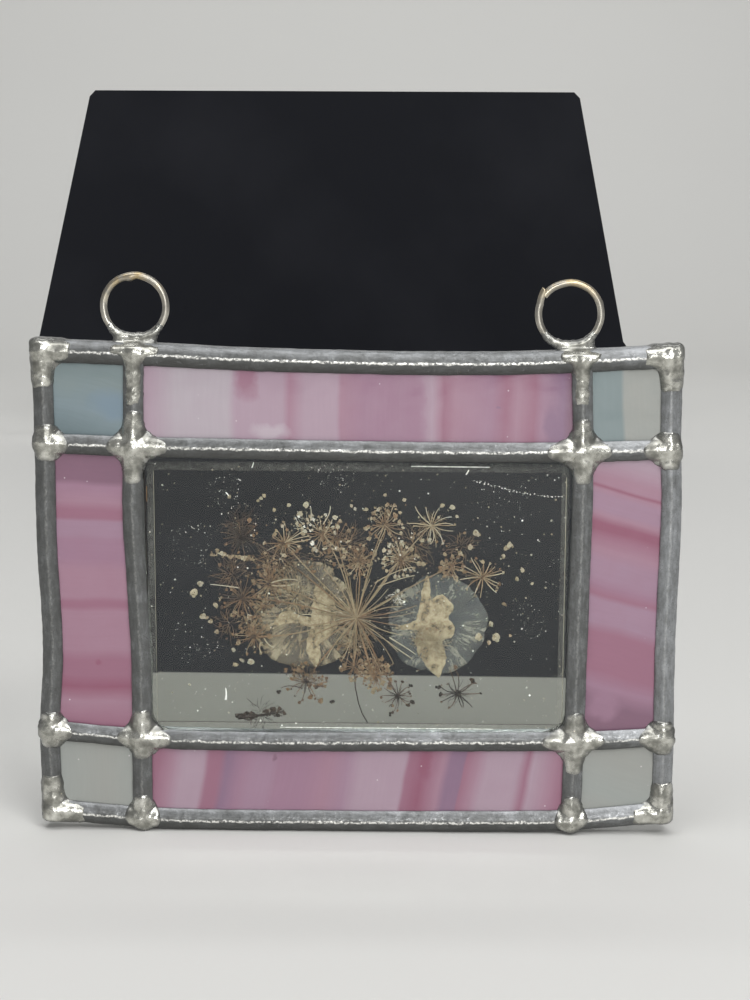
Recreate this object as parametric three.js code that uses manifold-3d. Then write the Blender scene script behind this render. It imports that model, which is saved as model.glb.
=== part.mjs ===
// Pressed flower suncatcher: a small leaded glass panel that hangs from two wire rings.
// The panel stands in the XZ plane with its front towards -Y. All sizes are in millimetres.
// Heights are first given from the middle of the panel, and the whole panel is lowered at the end,
// so that the origin is the hanging point, midway between the tops of the two ring eyes.
import * as THREE from 'three';
import { mergeVertices } from 'three/addons/utils/BufferGeometryUtils.js';
import Module from 'manifold-3d';

const wasm = await Module();
wasm.setup();

// Driving sizes
const HANGING_HEIGHT = 79.5;
const CAME_WIDTH = 5.2;
const BORDER_WIDTH = 5.8;
const CAME_DEPTH = 6.3;
const HEART = 1.2;
const WEB = 1.4;
const LIP = 0.35;
const CENTRE_CHANNEL = 4.4;
const BORDER_CHANNEL = 3.7;
const COLOURED_GLASS = 3.3;
const CLEAR_GLASS = 1.7;
const CLEAR_GLASS_BACK_FACE = 2.1;
const BEVEL = 3.0;
const BEVEL_EDGE = 0.7;
const GLASS_CLEARANCE = 0.35;
const GAP = 0.3;
const SOLDER_GAP = 0.12;
const SOLDER_HEIGHT = 1.0;
const WRAP_WALL = 0.45;
const WRAP_GAP = 0.28;
const RING_OUTER = 17.6;
const WIRE = 1.8;
const FOOT_WIDTH = 11.4;
const FOOT_DEPTH = 3.6;
const FOOT_HEIGHT = 2.6;

// Centre lines of the cames as [x, z] points: hand-stretched lead never runs quite straight
const TOP_BORDER = level([
  [-80, 61.8], [-56.7, 61.1], [-28, 59.9], [6, 59.2], [34, 59.2], [56.8, 60], [79.6, 61.3],
]);
const UPPER_CAME = level([
  [-79.6, 38.2], [-57.3, 37.5], [-4, 36.8], [30, 36.6], [57.7, 36.9], [79.9, 37.6],
]);
const LOWER_CAME = level([
  [-80.4, -37.7], [-56.2, -39.7], [-28, -40.4], [13, -40.1], [57.2, -39.5], [80.1, -38.2],
]);
const BOTTOM_BORDER = level([
  [-79.8, -59.7], [-56.2, -61.5], [-40, -62], [-14, -62], [12, -62], [56.7, -61.2], [80.4, -58.8],
]);
const LEFT_BORDER = upright([
  [-79.8, -59.7], [-80.2, -37.6], [-78.9, -16.5], [-79.8, 14.3], [-79.7, 38.2], [-80, 61.8],
]);
const LEFT_CAME = upright([
  [-56.2, -61.5], [-56.1, -39.7], [-56.1, -16.3], [-57.6, 20], [-57.2, 37.5], [-56.7, 61.1],
]);
const RIGHT_CAME = upright([
  [56.7, -61.2], [57.2, -39.5], [57.4, -15.3], [57.9, 24], [57.7, 36.9], [56.9, 60],
]);
const RIGHT_BORDER = upright([
  [80.4, -58.8], [80.3, -38.2], [80, -15.1], [80.5, 24], [79.8, 37.6], [79.5, 61.3],
]);

// Sight edges of the clear centre panes
const CENTRE_PANE = { left: -54.7, right: 56.3, bottom: -38, top: 35.8 };

// How far the solder runs out along each came from a joint
const CROSS_ARMS = {
  upper_left: { left: 8, right: 8.5, up: 8, down: 8 },
  upper_right: { left: 9, right: 8, up: 9, down: 5.5 },
  lower_left: { left: 7, right: 8, up: 10, down: 5.5 },
  lower_right: { left: 9, right: 6.5, up: 9, down: 6.5 },
};
const TEE_ARMS = {
  left_upper: { left: 2.9, right: 7.5, up: 7, down: 5 },
  left_lower: { left: 2.9, right: 8, up: 5.5, down: 7 },
  right_upper: { left: 7, right: 2.9, up: 4.5, down: 5 },
  right_lower: { left: 7.5, right: 2.9, up: 5, down: 5 },
  bottom_left: { left: 4.5, right: 5, up: 9.5, down: 2.9 },
  bottom_right: { left: 4.5, right: 4.5, up: 8, down: 2.9 },
};
const HANGER_ARMS = {
  left: { left: 6.5, right: 7, down: 10.5 },
  right: { left: 6, right: 5.5, down: 9 },
};
const CORNER_ARMS = {
  top_left: { level: 8.5, upright: 9 },
  top_right: { level: 9, upright: 9 },
  bottom_left: { level: 11, upright: 8 },
  bottom_right: { level: 7.5, upright: 9.5 },
};
const RING_AT = { left: -56.5, right: 53.7 };

// The pressed flowers lie between the panes, the flower head in front and the papery blooms behind it
const UMBEL_FRONT = -0.33;
const UMBEL_BACK = -0.05;
const BLOOM_FRONT = 0.03;
const BLOOM_BACK = 0.17;
const CALYX_BACK = 0.33;
const HUB = [0.1, -7.3];
const HUB_RADIUS = 1.5;
const RAY_WIDTH = 0.55;
// Each small umbel as [x, z, radius, points]
const SMALL_UMBELS = [
  [-18.6, 12.6, 4.6, 8], [-8.7, 15, 4.4, 8], [0.8, 8.4, 3.6, 7], [7.4, 17.5, 5, 8],
  [19.4, 17.5, 5.2, 8], [11.6, 8.4, 4.6, 8], [24.8, 6.8, 3.6, 7], [-29.8, 13, 5.5, 8],
  [-22.3, 1.8, 4.2, 7], [-30.2, -3, 4.4, 7], [-26.5, -14.7, 4.8, 8], [-13.2, -24.5, 4, 7],
  [-0.4, -22.2, 3.4, 7], [5.8, -23.8, 3.8, 7], [11.2, -28.6, 3.8, 7],
];
const STALK = [[-0.4, -22.2], [0, -27], [1.2, -31], [2.9, -35]];
const LOOSE_UMBELS = {
  loose_umbel_right: [32.7, 3.9, 6, 9],
  loose_umbel_low_right: [26.5, -28.8, 5.6, 9],
};
const SPRIG = [
  [-31, -34.6], [-26, -33], [-22, -33.6], [-19, -32.2], [-18.6, -33], [-22, -34.8], [-26, -34.4],
];
const BLOOMS = {
  left: { centre: [-12, -8], radius: 13.6, calyx: [-12.5, -8.5], reach: 8 },
  right: { centre: [20.5, -9.5], radius: 13.8, calyx: [18.4, -9.8], reach: 10.5 },
};

// Finishes
const lead = finish(0x7b8084, 0.55, 0.6);
const solder = finish(0xa9a79f, 0.35, 0.8);
const wire = finish(0xb3ab98, 0.3, 0.9);
const pink = finish(0xbd7f9c, 0.3, 0);
const blueGrey = finish(0x9aaab0, 0.3, 0);
const clear = finish(0xdfe6e2, 0.05, 0);
const straw = finish(0xb59a6a, 0.9, 0);
const paper = finish(0xb5a98a, 0.9, 0);

const panel = new THREE.Group();
panel.position.z = -HANGING_HEIGHT;

function finish(color, roughness, metalness) {
  return new THREE.MeshStandardMaterial({ color, roughness, metalness });
}

function add(name, geometry, material) {
  const mesh = new THREE.Mesh(geometry, material);
  mesh.name = name;
  panel.add(mesh);
}

// A smooth line through points, read along one axis: at gives the other coordinate there
function smooth(points, along) {
  const across = 1 - along;
  const slopes = points.map((point, i) => {
    const before = points[Math.max(i - 1, 0)];
    const after = points[Math.min(i + 1, points.length - 1)];
    return (after[across] - before[across]) / (after[along] - before[along]);
  });
  return (s) => {
    let i = 0;
    while (i < points.length - 2 && s > points[i + 1][along]) {
      i += 1;
    }
    const span = points[i + 1][along] - points[i][along];
    const t = (s - points[i][along]) / span;
    const rise = points[i + 1][across] - points[i][across];
    const bend = t * (1 - t) * ((1 - t) * (slopes[i] * span - rise) - t * (slopes[i + 1] * span - rise));
    return points[i][across] + rise * t + bend;
  };
}

function level(points) {
  const at = smooth(points, 0);
  return { at, point: (x) => [x, at(x)] };
}

function upright(points) {
  const at = smooth(points, 1);
  return { at, point: (z) => [at(z), z] };
}

// Where a level line and an upright line cross, each moved sideways by its own amount
function crossing(levelLine, uprightLine, lift = 0, shift = 0) {
  let x = uprightLine.at(0) + shift;
  let z = levelLine.at(x) + lift;
  for (let i = 0; i < 4; i += 1) {
    x = uprightLine.at(z) + shift;
    z = levelLine.at(x) + lift;
  }
  return [x, z];
}

// A section swept along a line: its first coordinate lies to the right of the way it runs
function sweep(section, line, from, to, steps) {
  const shape = new THREE.Shape(section.map(([across, depth]) => new THREE.Vector2(across, depth)));
  const geometry = new THREE.ExtrudeGeometry(shape, { depth: 1, steps, bevelEnabled: false });
  const position = geometry.attributes.position;
  const way = Math.sign(to - from);
  for (let i = 0; i < position.count; i += 1) {
    const s = THREE.MathUtils.lerp(from, to, position.getZ(i));
    const [x, z] = line.point(s);
    const [aheadX, aheadZ] = line.point(s + 0.5 * way);
    const [behindX, behindZ] = line.point(s - 0.5 * way);
    const length = Math.hypot(aheadX - behindX, aheadZ - behindZ);
    const across = position.getX(i) / length;
    position.setXYZ(i, x + across * (aheadZ - behindZ), position.getY(i), z - across * (aheadX - behindX));
  }
  return geometry;
}

// A flat piece with an outline of [x, z] points, between two depths
function slab(outline, front, back) {
  const shape = new THREE.Shape(outline.map(([x, z]) => new THREE.Vector2(x, z)));
  const geometry = new THREE.ExtrudeGeometry(shape, { depth: back - front, bevelEnabled: false });
  geometry.rotateX(Math.PI / 2);
  geometry.translate(0, back, 0);
  return geometry;
}

function solidOf(geometry) {
  const bare = geometry.clone();
  bare.deleteAttribute('normal');
  bare.deleteAttribute('uv');
  const merged = mergeVertices(bare, 1e-4);
  return new wasm.Manifold(new wasm.Mesh({
    numProp: 3,
    vertProperties: new Float32Array(merged.attributes.position.array),
    triVerts: new Uint32Array(merged.index.array),
  }));
}

function geometryOf(solid) {
  const mesh = solid.getMesh();
  const geometry = new THREE.BufferGeometry();
  geometry.setAttribute('position', new THREE.BufferAttribute(new Float32Array(mesh.vertProperties), 3));
  geometry.setIndex(new THREE.BufferAttribute(new Uint32Array(mesh.triVerts), 1));
  return geometry;
}

function joined(geometries) {
  return geometries.map(solidOf).reduce((whole, next) => whole.add(next));
}

// Came sections: an H with rounded faces for the inner cames, a U that opens inwards for the border
function innerSection() {
  const half = CAME_WIDTH / 2;
  const depth = CAME_DEPTH / 2;
  const channel = CENTRE_CHANNEL / 2;
  const face = [[half, channel + LIP], [0.77 * half, depth - 0.2], [0.3 * half, depth]];
  const faceRight = [[half, channel], ...face];
  const faceLeft = faceRight.map(([across, y]) => [-across, y]).reverse();
  const top = [[HEART / 2, channel], ...faceRight, ...faceLeft, [-HEART / 2, channel]];
  const bottom = top.map(([across, y]) => [across, -y]).reverse();
  return [...top, ...bottom];
}

function borderSection() {
  const half = BORDER_WIDTH / 2;
  const depth = CAME_DEPTH / 2;
  const channel = BORDER_CHANNEL / 2;
  const top = [
    [half, depth - 1.1], [0.8 * half, depth - 0.2], [0.3 * half, depth], [-0.5 * half, depth - 0.15],
    [-half, channel + LIP], [-half, channel], [half - WEB, channel],
  ];
  const bottom = top.map(([across, y]) => [across, -y]).reverse();
  return [...top, ...bottom];
}

// A pane's outline: its edges follow the four lines around it, each moved out or in by its own amount
function paneOutline(lines, moves, levelSteps, uprightSteps) {
  const corners = {
    bottomLeft: crossing(lines.bottom, lines.left, moves.bottom, moves.left),
    bottomRight: crossing(lines.bottom, lines.right, moves.bottom, moves.right),
    topRight: crossing(lines.top, lines.right, moves.top, moves.right),
    topLeft: crossing(lines.top, lines.left, moves.top, moves.left),
  };
  const levelEdge = (line, move, from, to) => (
    steps(from[0], to[0], levelSteps).map((x) => [x, line.at(x) + move])
  );
  const uprightEdge = (line, move, from, to) => (
    steps(from[1], to[1], uprightSteps).map((z) => [line.at(z) + move, z])
  );
  return [
    ...levelEdge(lines.bottom, moves.bottom, corners.bottomLeft, corners.bottomRight),
    ...uprightEdge(lines.right, moves.right, corners.bottomRight, corners.topRight),
    ...levelEdge(lines.top, moves.top, corners.topRight, corners.topLeft),
    ...uprightEdge(lines.left, moves.left, corners.topLeft, corners.bottomLeft),
  ];
}

// Evenly spaced values from one end up to, but without, the other
function steps(from, to, count) {
  return Array.from({ length: count }, (_, i) => from + ((to - from) * i) / count);
}

function colouredGlass() {
  const atBorder = BORDER_WIDTH / 2 - WEB - GLASS_CLEARANCE;
  const atHeart = -HEART / 2 - GLASS_CLEARANCE;
  const columns = {
    left: [LEFT_BORDER, LEFT_CAME, atBorder, atHeart],
    middle: [LEFT_CAME, RIGHT_CAME, atHeart, atHeart],
    right: [RIGHT_CAME, RIGHT_BORDER, atHeart, atBorder],
  };
  const rows = {
    bottom: [BOTTOM_BORDER, LOWER_CAME, atBorder, atHeart],
    middle: [LOWER_CAME, UPPER_CAME, atHeart, atHeart],
    top: [UPPER_CAME, TOP_BORDER, atHeart, atBorder],
  };
  const pane = (name, row, column, levelSteps, uprightSteps, material) => {
    const [bottom, top, outBottom, outTop] = rows[row];
    const [left, right, outLeft, outRight] = columns[column];
    const moves = { bottom: -outBottom, top: outTop, left: -outLeft, right: outRight };
    const outline = paneOutline({ bottom, top, left, right }, moves, levelSteps, uprightSteps);
    add(name, slab(outline, -COLOURED_GLASS / 2, COLOURED_GLASS / 2), material);
  };
  for (const row of ['top', 'bottom']) {
    for (const column of ['left', 'right']) {
      pane(`glass_square_${row}_${column}`, row, column, 2, 2, blueGrey);
    }
    pane(`glass_strip_${row}`, row, 'middle', 7, 1, pink);
  }
  pane('glass_strip_left', 'middle', 'left', 1, 6, pink);
  pane('glass_strip_right', 'middle', 'right', 1, 6, pink);
}

// The clear panes: the back one is plain, and the front one is ground down to a thin edge all round
function centreGlass() {
  const { left, right, bottom, top } = CENTRE_PANE;
  const outline = [[left, bottom], [right, bottom], [right, top], [left, top]];
  const inner = CLEAR_GLASS_BACK_FACE - CLEAR_GLASS;
  add('centre_glass_back', slab(outline, inner, CLEAR_GLASS_BACK_FACE), clear);

  const shape = new THREE.Shape(outline.map(([x, z]) => new THREE.Vector2(x, z)));
  const geometry = new THREE.ExtrudeGeometry(shape, { depth: 2, steps: 2, bevelEnabled: false });
  const position = geometry.attributes.position;
  const depths = [-inner, -inner - BEVEL_EDGE, -CLEAR_GLASS_BACK_FACE];
  for (let i = 0; i < position.count; i += 1) {
    const ring = Math.round(position.getZ(i));
    const inset = ring === 2 ? BEVEL : 0;
    const x = THREE.MathUtils.clamp(position.getX(i), left + inset, right - inset);
    const z = THREE.MathUtils.clamp(position.getY(i), bottom + inset, top - inset);
    position.setXYZ(i, x, depths[ring], z);
  }
  add('centre_glass_front', geometry, clear);
}

function cames() {
  const inner = innerSection();
  const border = borderSection();
  const toBorder = BORDER_WIDTH / 2 + GAP;
  const toCame = CAME_WIDTH / 2 + GAP;
  const half = BORDER_WIDTH / 2;
  const outerLeft = (z) => LEFT_BORDER.at(z) - half;
  const outerRight = (z) => RIGHT_BORDER.at(z) + half;

  add('border_bottom', sweep(border, BOTTOM_BORDER, outerLeft(-60), outerRight(-60), 11), lead);
  add('border_top', sweep(border, TOP_BORDER, outerRight(61), outerLeft(61), 11), lead);
  const sideEnds = (line) => {
    const [, low] = crossing(BOTTOM_BORDER, line, toBorder);
    const [, high] = crossing(TOP_BORDER, line, -toBorder);
    return [low, high];
  };
  const [rightLow, rightHigh] = sideEnds(RIGHT_BORDER);
  const [leftLow, leftHigh] = sideEnds(LEFT_BORDER);
  add('border_right', sweep(border, RIGHT_BORDER, rightLow, rightHigh, 8), lead);
  add('border_left', sweep(border, LEFT_BORDER, leftHigh, leftLow, 8), lead);

  for (const [name, line] of [['came_upper', UPPER_CAME], ['came_lower', LOWER_CAME]]) {
    const [from] = crossing(line, LEFT_BORDER, 0, toBorder);
    const [to] = crossing(line, RIGHT_BORDER, 0, -toBorder);
    add(name, sweep(inner, line, from, to, 9), lead);
  }
  for (const [side, line] of [['left', LEFT_CAME], ['right', RIGHT_CAME]]) {
    const lengths = {
      bottom: [crossing(BOTTOM_BORDER, line, toBorder), crossing(LOWER_CAME, line, -toCame), 1],
      middle: [crossing(LOWER_CAME, line, toCame), crossing(UPPER_CAME, line, -toCame), 6],
      top: [crossing(UPPER_CAME, line, toCame), crossing(TOP_BORDER, line, -toBorder), 1],
    };
    for (const [part, [low, high, count]] of Object.entries(lengths)) {
      add(`came_${side}_${part}`, sweep(inner, line, low[1], high[1], count), lead);
    }
  }
}

// The outline of solder run along the cames from a joint, with a round fillet in each open corner
function solderOutline([x, z], arms) {
  const half = CAME_WIDTH / 2 - 0.1;
  const fillet = 2.2;
  const right = arms.right;
  const up = arms.up;
  const left = arms.left;
  const down = arms.down;
  const points = [];
  const armEnd = (reach, turn) => {
    if (reach > half + fillet) {
      points.push([reach - 0.8, -half, turn], [reach, 0, turn], [reach - 0.8, half, turn]);
    }
  };
  const corner = (reach, next, turn) => {
    const open = Math.min(reach, next) > half + fillet;
    if (open) {
      const mid = half + 0.3 * fillet;
      points.push([half + fillet, half, turn], [mid, mid, turn], [half, half + fillet, turn]);
    } else {
      points.push([Math.min(reach, half + 0.4), Math.min(next, half + 0.4), turn]);
    }
  };
  armEnd(right, 0);
  corner(right, up, 0);
  armEnd(up, 1);
  corner(up, left, 1);
  armEnd(left, 2);
  corner(left, down, 2);
  armEnd(down, 3);
  corner(down, right, 3);
  const turned = points.map(([a, b, turn]) => {
    const angle = (turn * Math.PI) / 2;
    return [a * Math.cos(angle) - b * Math.sin(angle), a * Math.sin(angle) + b * Math.cos(angle)];
  });
  return turned.map(([a, b]) => [x + a, z + b]);
}

// A low rounded lump of solder on the front (side -1) or the back (side 1) of a joint
function solderLump([x, z], arms, side) {
  const outline = solderOutline([x, z], arms).map(([a, b]) => new THREE.Vector2(a, b));
  const shape = new THREE.Shape(outline);
  const geometry = new THREE.ExtrudeGeometry(shape, { depth: 2, steps: 2, bevelEnabled: false });
  const position = geometry.attributes.position;
  const rises = [0, 0.6, 1];
  const widths = [1, 0.9, 0.55];
  for (let i = 0; i < position.count; i += 1) {
    const step = Math.round(position.getZ(i));
    const ring = side < 0 ? step : 2 - step;
    const y = side * (CAME_DEPTH / 2 + SOLDER_GAP + SOLDER_HEIGHT * rises[ring]);
    const wide = widths[ring];
    position.setXYZ(i, x + (position.getX(i) - x) * wide, y, z + (position.getY(i) - z) * wide);
  }
  return geometry;
}

function jointSolder() {
  const crosses = {
    upper_left: crossing(UPPER_CAME, LEFT_CAME),
    upper_right: crossing(UPPER_CAME, RIGHT_CAME),
    lower_left: crossing(LOWER_CAME, LEFT_CAME),
    lower_right: crossing(LOWER_CAME, RIGHT_CAME),
  };
  const tees = {
    left_upper: crossing(UPPER_CAME, LEFT_BORDER),
    left_lower: crossing(LOWER_CAME, LEFT_BORDER),
    right_upper: crossing(UPPER_CAME, RIGHT_BORDER),
    right_lower: crossing(LOWER_CAME, RIGHT_BORDER),
    bottom_left: crossing(BOTTOM_BORDER, LEFT_CAME),
    bottom_right: crossing(BOTTOM_BORDER, RIGHT_CAME),
  };
  for (const [face, side] of [['front', -1], ['back', 1]]) {
    for (const [name, at] of Object.entries(crosses)) {
      add(`solder_cross_${name}_${face}`, solderLump(at, CROSS_ARMS[name], side), solder);
    }
    for (const [name, at] of Object.entries(tees)) {
      add(`solder_tee_${name}_${face}`, solderLump(at, TEE_ARMS[name], side), solder);
    }
  }
}

// Solder wrapped round a corner of the border: front, edge and back in one piece
function cornerSolder() {
  const outer = BORDER_WIDTH / 2 + WRAP_GAP;
  const corners = {
    top_left: [TOP_BORDER, LEFT_BORDER, -1, 1],
    top_right: [TOP_BORDER, RIGHT_BORDER, 1, 1],
    bottom_left: [BOTTOM_BORDER, LEFT_BORDER, -1, -1],
    bottom_right: [BOTTOM_BORDER, RIGHT_BORDER, 1, -1],
  };
  for (const [name, [levelLine, uprightLine, outX, outZ]] of Object.entries(corners)) {
    const [x, z] = crossing(levelLine, uprightLine);
    const arms = CORNER_ARMS[name];
    const onLevel = (back, out) => [x - outX * back, levelLine.at(x - outX * back) + outZ * out];
    const onUpright = (back, out) => [uprightLine.at(z - outZ * back) + outX * out, z - outZ * back];
    const round = 1.4;
    const wall = outer + WRAP_WALL;
    const outline = [
      onUpright(arms.upright, wall), onUpright(-outer + round, wall), onLevel(-outer + round, wall),
      onLevel(arms.level, wall), onLevel(arms.level + 0.6, 0), onLevel(arms.level, -2.4),
      onLevel(3.6, -2.6), onUpright(3.6, -2.6), onUpright(arms.upright, -2.4),
      onUpright(arms.upright + 0.6, 0),
    ];
    const cornerRoom = [uprightLine.at(z) + outX * outer, levelLine.at(x) + outZ * outer];
    const room = [
      onUpright(2 * arms.upright, outer), onUpright(arms.upright / 2, outer), cornerRoom,
      onLevel(arms.level / 2, outer), onLevel(2 * arms.level, outer), [x - outX * 25, z - outZ * 25],
    ];
    const thick = CAME_DEPTH / 2 + SOLDER_GAP + 0.8 * SOLDER_HEIGHT;
    const hollow = CAME_DEPTH / 2 + SOLDER_GAP;
    const wrapped = solidOf(slab(outline, -thick, thick)).subtract(solidOf(slab(room, -hollow, hollow)));
    add(`solder_corner_${name}`, geometryOf(wrapped), solder);
  }
}

// The rings, and the solder that wraps over the top border and holds each ring by its lowest wire
function hangers() {
  const centreRadius = (RING_OUTER - WIRE) / 2;
  const lines = { left: LEFT_CAME, right: RIGHT_CAME };
  for (const [side, line] of Object.entries(lines)) {
    const [x, z] = crossing(TOP_BORDER, line);
    const ringX = RING_AT[side];
    const edge = TOP_BORDER.at(ringX) + BORDER_WIDTH / 2 + GAP;
    const ringZ = edge + RING_OUTER / 2 - 0.1;
    const ring = (thickness, around) => {
      const torus = new THREE.TorusGeometry(centreRadius, thickness / 2, around, 28);
      torus.rotateX(Math.PI / 2);
      torus.translate(ringX, 0, ringZ);
      return torus;
    };
    add(`ring_${side}`, ring(WIRE, 8), wire);

    const arms = { ...HANGER_ARMS[side], up: BORDER_WIDTH / 2 };
    const thick = CAME_DEPTH / 2 + SOLDER_GAP + 0.8 * SOLDER_HEIGHT;
    const hollow = CAME_DEPTH / 2 + SOLDER_GAP;
    const half = FOOT_WIDTH / 2;
    const saddle = [
      [ringX - half, edge - 2.5], [ringX + half, edge - 2.5], [ringX + half, edge + 0.2],
      [ringX + half - 1, edge + WRAP_WALL], [ringX - half + 1, edge + WRAP_WALL], [ringX - half, edge + 0.2],
    ];
    const foot = [
      [ringX - half, edge + 0.1], [ringX + half, edge + 0.1], [ringX + 0.6 * half, edge + 1.1],
      [ringX + 0.42 * half, edge + FOOT_HEIGHT], [ringX - 0.42 * half, edge + FOOT_HEIGHT],
      [ringX - 0.6 * half, edge + 1.1],
    ];
    const room = [[x - 30, z - 30], [x + 30, z - 30], [x + 30, edge], [x - 30, edge]];
    const wrapped = joined([slab(solderOutline([x, z], arms), -thick, thick), slab(saddle, -thick, thick)])
      .subtract(solidOf(slab(room, -hollow, hollow)))
      .add(solidOf(slab(foot, -FOOT_DEPTH / 2, FOOT_DEPTH / 2)))
      .subtract(solidOf(ring(WIRE + 2 * SOLDER_GAP, 8)));
    add(`solder_hanger_${side}`, geometryOf(wrapped), solder);
  }
}

// A small umbel seen flat: thin stalks spread from one point, each ending in a bud
function spray([x, z, radius, points], turn) {
  const outline = [];
  for (let i = 0; i < points; i += 1) {
    const angle = turn + (i * 2 * Math.PI) / points;
    const between = angle + Math.PI / points;
    const reach = radius * (1 - 0.22 * Math.abs(Math.sin(2.7 * i + turn)));
    outline.push([x + reach * Math.cos(angle), z + reach * Math.sin(angle)]);
    outline.push([x + 0.24 * radius * Math.cos(between), z + 0.24 * radius * Math.sin(between)]);
  }
  return outline;
}

// A thin stalk from one point to another
function stalk([x0, z0], [x1, z1], width) {
  const length = Math.hypot(x1 - x0, z1 - z0);
  const acrossX = ((z1 - z0) / length) * (width / 2);
  const acrossZ = (-(x1 - x0) / length) * (width / 2);
  return [
    [x0 + acrossX, z0 + acrossZ], [x0 - acrossX, z0 - acrossZ],
    [x1 - 0.6 * acrossX, z1 - 0.6 * acrossZ], [x1 + 0.6 * acrossX, z1 + 0.6 * acrossZ],
  ];
}

// The large flower head: a hub, a ray out to each small umbel, short rays between, and a stalk below
function flowerHead() {
  const outlines = [spray([...HUB, HUB_RADIUS * 1.8, 7], 0.2)];
  SMALL_UMBELS.forEach((umbel, i) => {
    outlines.push(stalk(HUB, umbel, RAY_WIDTH));
    outlines.push(spray(umbel, 0.7 * i));
  });
  const shortRays = 9;
  for (let i = 0; i < shortRays; i += 1) {
    const angle = 0.35 + (i * 2 * Math.PI) / shortRays;
    const reach = 14 + 3 * Math.sin(2.1 * i);
    const tip = [HUB[0] + reach * Math.cos(angle), HUB[1] + reach * Math.sin(angle)];
    outlines.push(stalk(HUB, tip, RAY_WIDTH));
  }
  for (let i = 1; i < STALK.length; i += 1) {
    outlines.push(stalk(STALK[i - 1], STALK[i], RAY_WIDTH));
  }
  const head = joined(outlines.map((outline) => slab(outline, UMBEL_FRONT, UMBEL_BACK)));
  add('pressed_umbel', geometryOf(head), straw);
}

// A faded bloom: a round papery corolla with a frayed edge, and a star-shaped calyx on its middle
function papery(name, { centre, radius, calyx, reach }, turn) {
  const count = 22;
  const corolla = [];
  for (let i = 0; i < count; i += 1) {
    const angle = (i * 2 * Math.PI) / count;
    const edge = radius * (1 - 0.05 * Math.sin(5 * angle + turn) - 0.035 * Math.sin(11 * angle));
    corolla.push([centre[0] + edge * Math.cos(angle), centre[1] + edge * Math.sin(angle)]);
  }
  const star = [];
  for (let i = 0; i < 10; i += 1) {
    const angle = turn + (i * Math.PI) / 5;
    const out = i % 2 === 0 ? reach : 0.45 * reach;
    star.push([calyx[0] + out * Math.cos(angle), calyx[1] + out * Math.sin(angle)]);
  }
  const bloom = joined([slab(corolla, BLOOM_FRONT, BLOOM_BACK), slab(star, BLOOM_FRONT, CALYX_BACK)]);
  add(name, geometryOf(bloom), paper);
}

colouredGlass();
centreGlass();
cames();
jointSolder();
cornerSolder();
hangers();
flowerHead();
papery('papery_bloom_left', BLOOMS.left, 0.5);
papery('papery_bloom_right', BLOOMS.right, 1.45);
for (const [name, umbel] of Object.entries(LOOSE_UMBELS)) {
  add(name, slab(spray(umbel, 0.4), UMBEL_FRONT, UMBEL_BACK), straw);
}
add('loose_sprig', slab(SPRIG, UMBEL_FRONT, UMBEL_BACK), straw);

export default panel;
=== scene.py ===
# Pressed flower suncatcher: a small leaded glass panel that hangs from two soldered wire rings,
# with dried flowers pressed between two clear panes in its middle.
import math
import random

import bmesh
import bpy
from mathutils import Matrix, Vector, noise


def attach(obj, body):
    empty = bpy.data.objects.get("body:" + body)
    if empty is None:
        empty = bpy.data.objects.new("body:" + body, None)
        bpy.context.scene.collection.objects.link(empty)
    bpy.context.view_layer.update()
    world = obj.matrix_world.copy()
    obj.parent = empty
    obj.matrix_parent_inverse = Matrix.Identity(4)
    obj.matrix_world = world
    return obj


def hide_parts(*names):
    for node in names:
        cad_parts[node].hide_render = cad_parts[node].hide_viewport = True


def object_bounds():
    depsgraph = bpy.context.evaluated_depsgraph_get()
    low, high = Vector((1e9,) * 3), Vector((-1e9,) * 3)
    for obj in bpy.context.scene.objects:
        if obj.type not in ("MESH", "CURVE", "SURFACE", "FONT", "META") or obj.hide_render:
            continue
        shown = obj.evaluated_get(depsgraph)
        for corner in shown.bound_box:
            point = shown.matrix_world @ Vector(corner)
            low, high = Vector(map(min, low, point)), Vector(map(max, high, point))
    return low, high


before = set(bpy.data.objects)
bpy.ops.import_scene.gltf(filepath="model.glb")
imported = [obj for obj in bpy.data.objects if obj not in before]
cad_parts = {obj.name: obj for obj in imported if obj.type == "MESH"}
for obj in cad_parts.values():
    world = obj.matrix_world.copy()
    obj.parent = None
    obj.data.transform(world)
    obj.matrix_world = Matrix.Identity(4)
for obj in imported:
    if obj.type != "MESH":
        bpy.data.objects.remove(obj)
cad_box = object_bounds()

# Studio
# A pale floor that curves up far behind, a plain dark backdrop that lies well behind the panel so that the
# clear pane shows its flowers, with a grey near strip that is a painted shadow of the panel on the floor
# behind it, soft lamps, and a camera a little above the panel's middle.
MM = 0.001
HANGING_HEIGHT = 79.5  # the hanging point above the panel's middle, in mm
FLOOR = cad_box[0].z


def at(x, y, z):
    """A point in the frame from mm, with z from the panel's middle."""
    return Vector((x * MM, y * MM, (z - HANGING_HEIGHT) * MM))


def linked(name, data):
    """An object for a mesh, a lamp or a camera, in the scene."""
    obj = bpy.data.objects.new(name, data)
    bpy.context.collection.objects.link(obj)
    return obj


def mesh_object(name, points, faces, materials=(), smooth=True):
    """An object from points and faces."""
    mesh = bpy.data.meshes.new(name)
    mesh.from_pydata([tuple(p) for p in points], [], faces)
    mesh.update()
    if smooth:
        mesh.shade_smooth()
    for material in materials:
        mesh.materials.append(material)
    return linked(name, mesh)


def grid_faces(rows, columns, closed=False):
    """Faces of a grid of points; a closed one joins its last column to its first."""
    faces = []
    for i in range(rows - 1):
        for j in range(columns if closed else columns - 1):
            k = (j + 1) % columns
            faces.append((i * columns + j, i * columns + k, (i + 1) * columns + k, (i + 1) * columns + j))
    return faces


def adder(tree):
    """A short way to add a node to a tree: its inputs are values or other nodes' sockets."""

    def add(kind, inputs=None, **settings):
        node = tree.nodes.new(kind)
        for key, value in settings.items():
            setattr(node, key, value)
        for key, value in (inputs or {}).items():
            if isinstance(value, bpy.types.NodeSocket):
                tree.links.new(value, node.inputs[key])
            else:
                node.inputs[key].default_value = value
        return node

    return add


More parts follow.
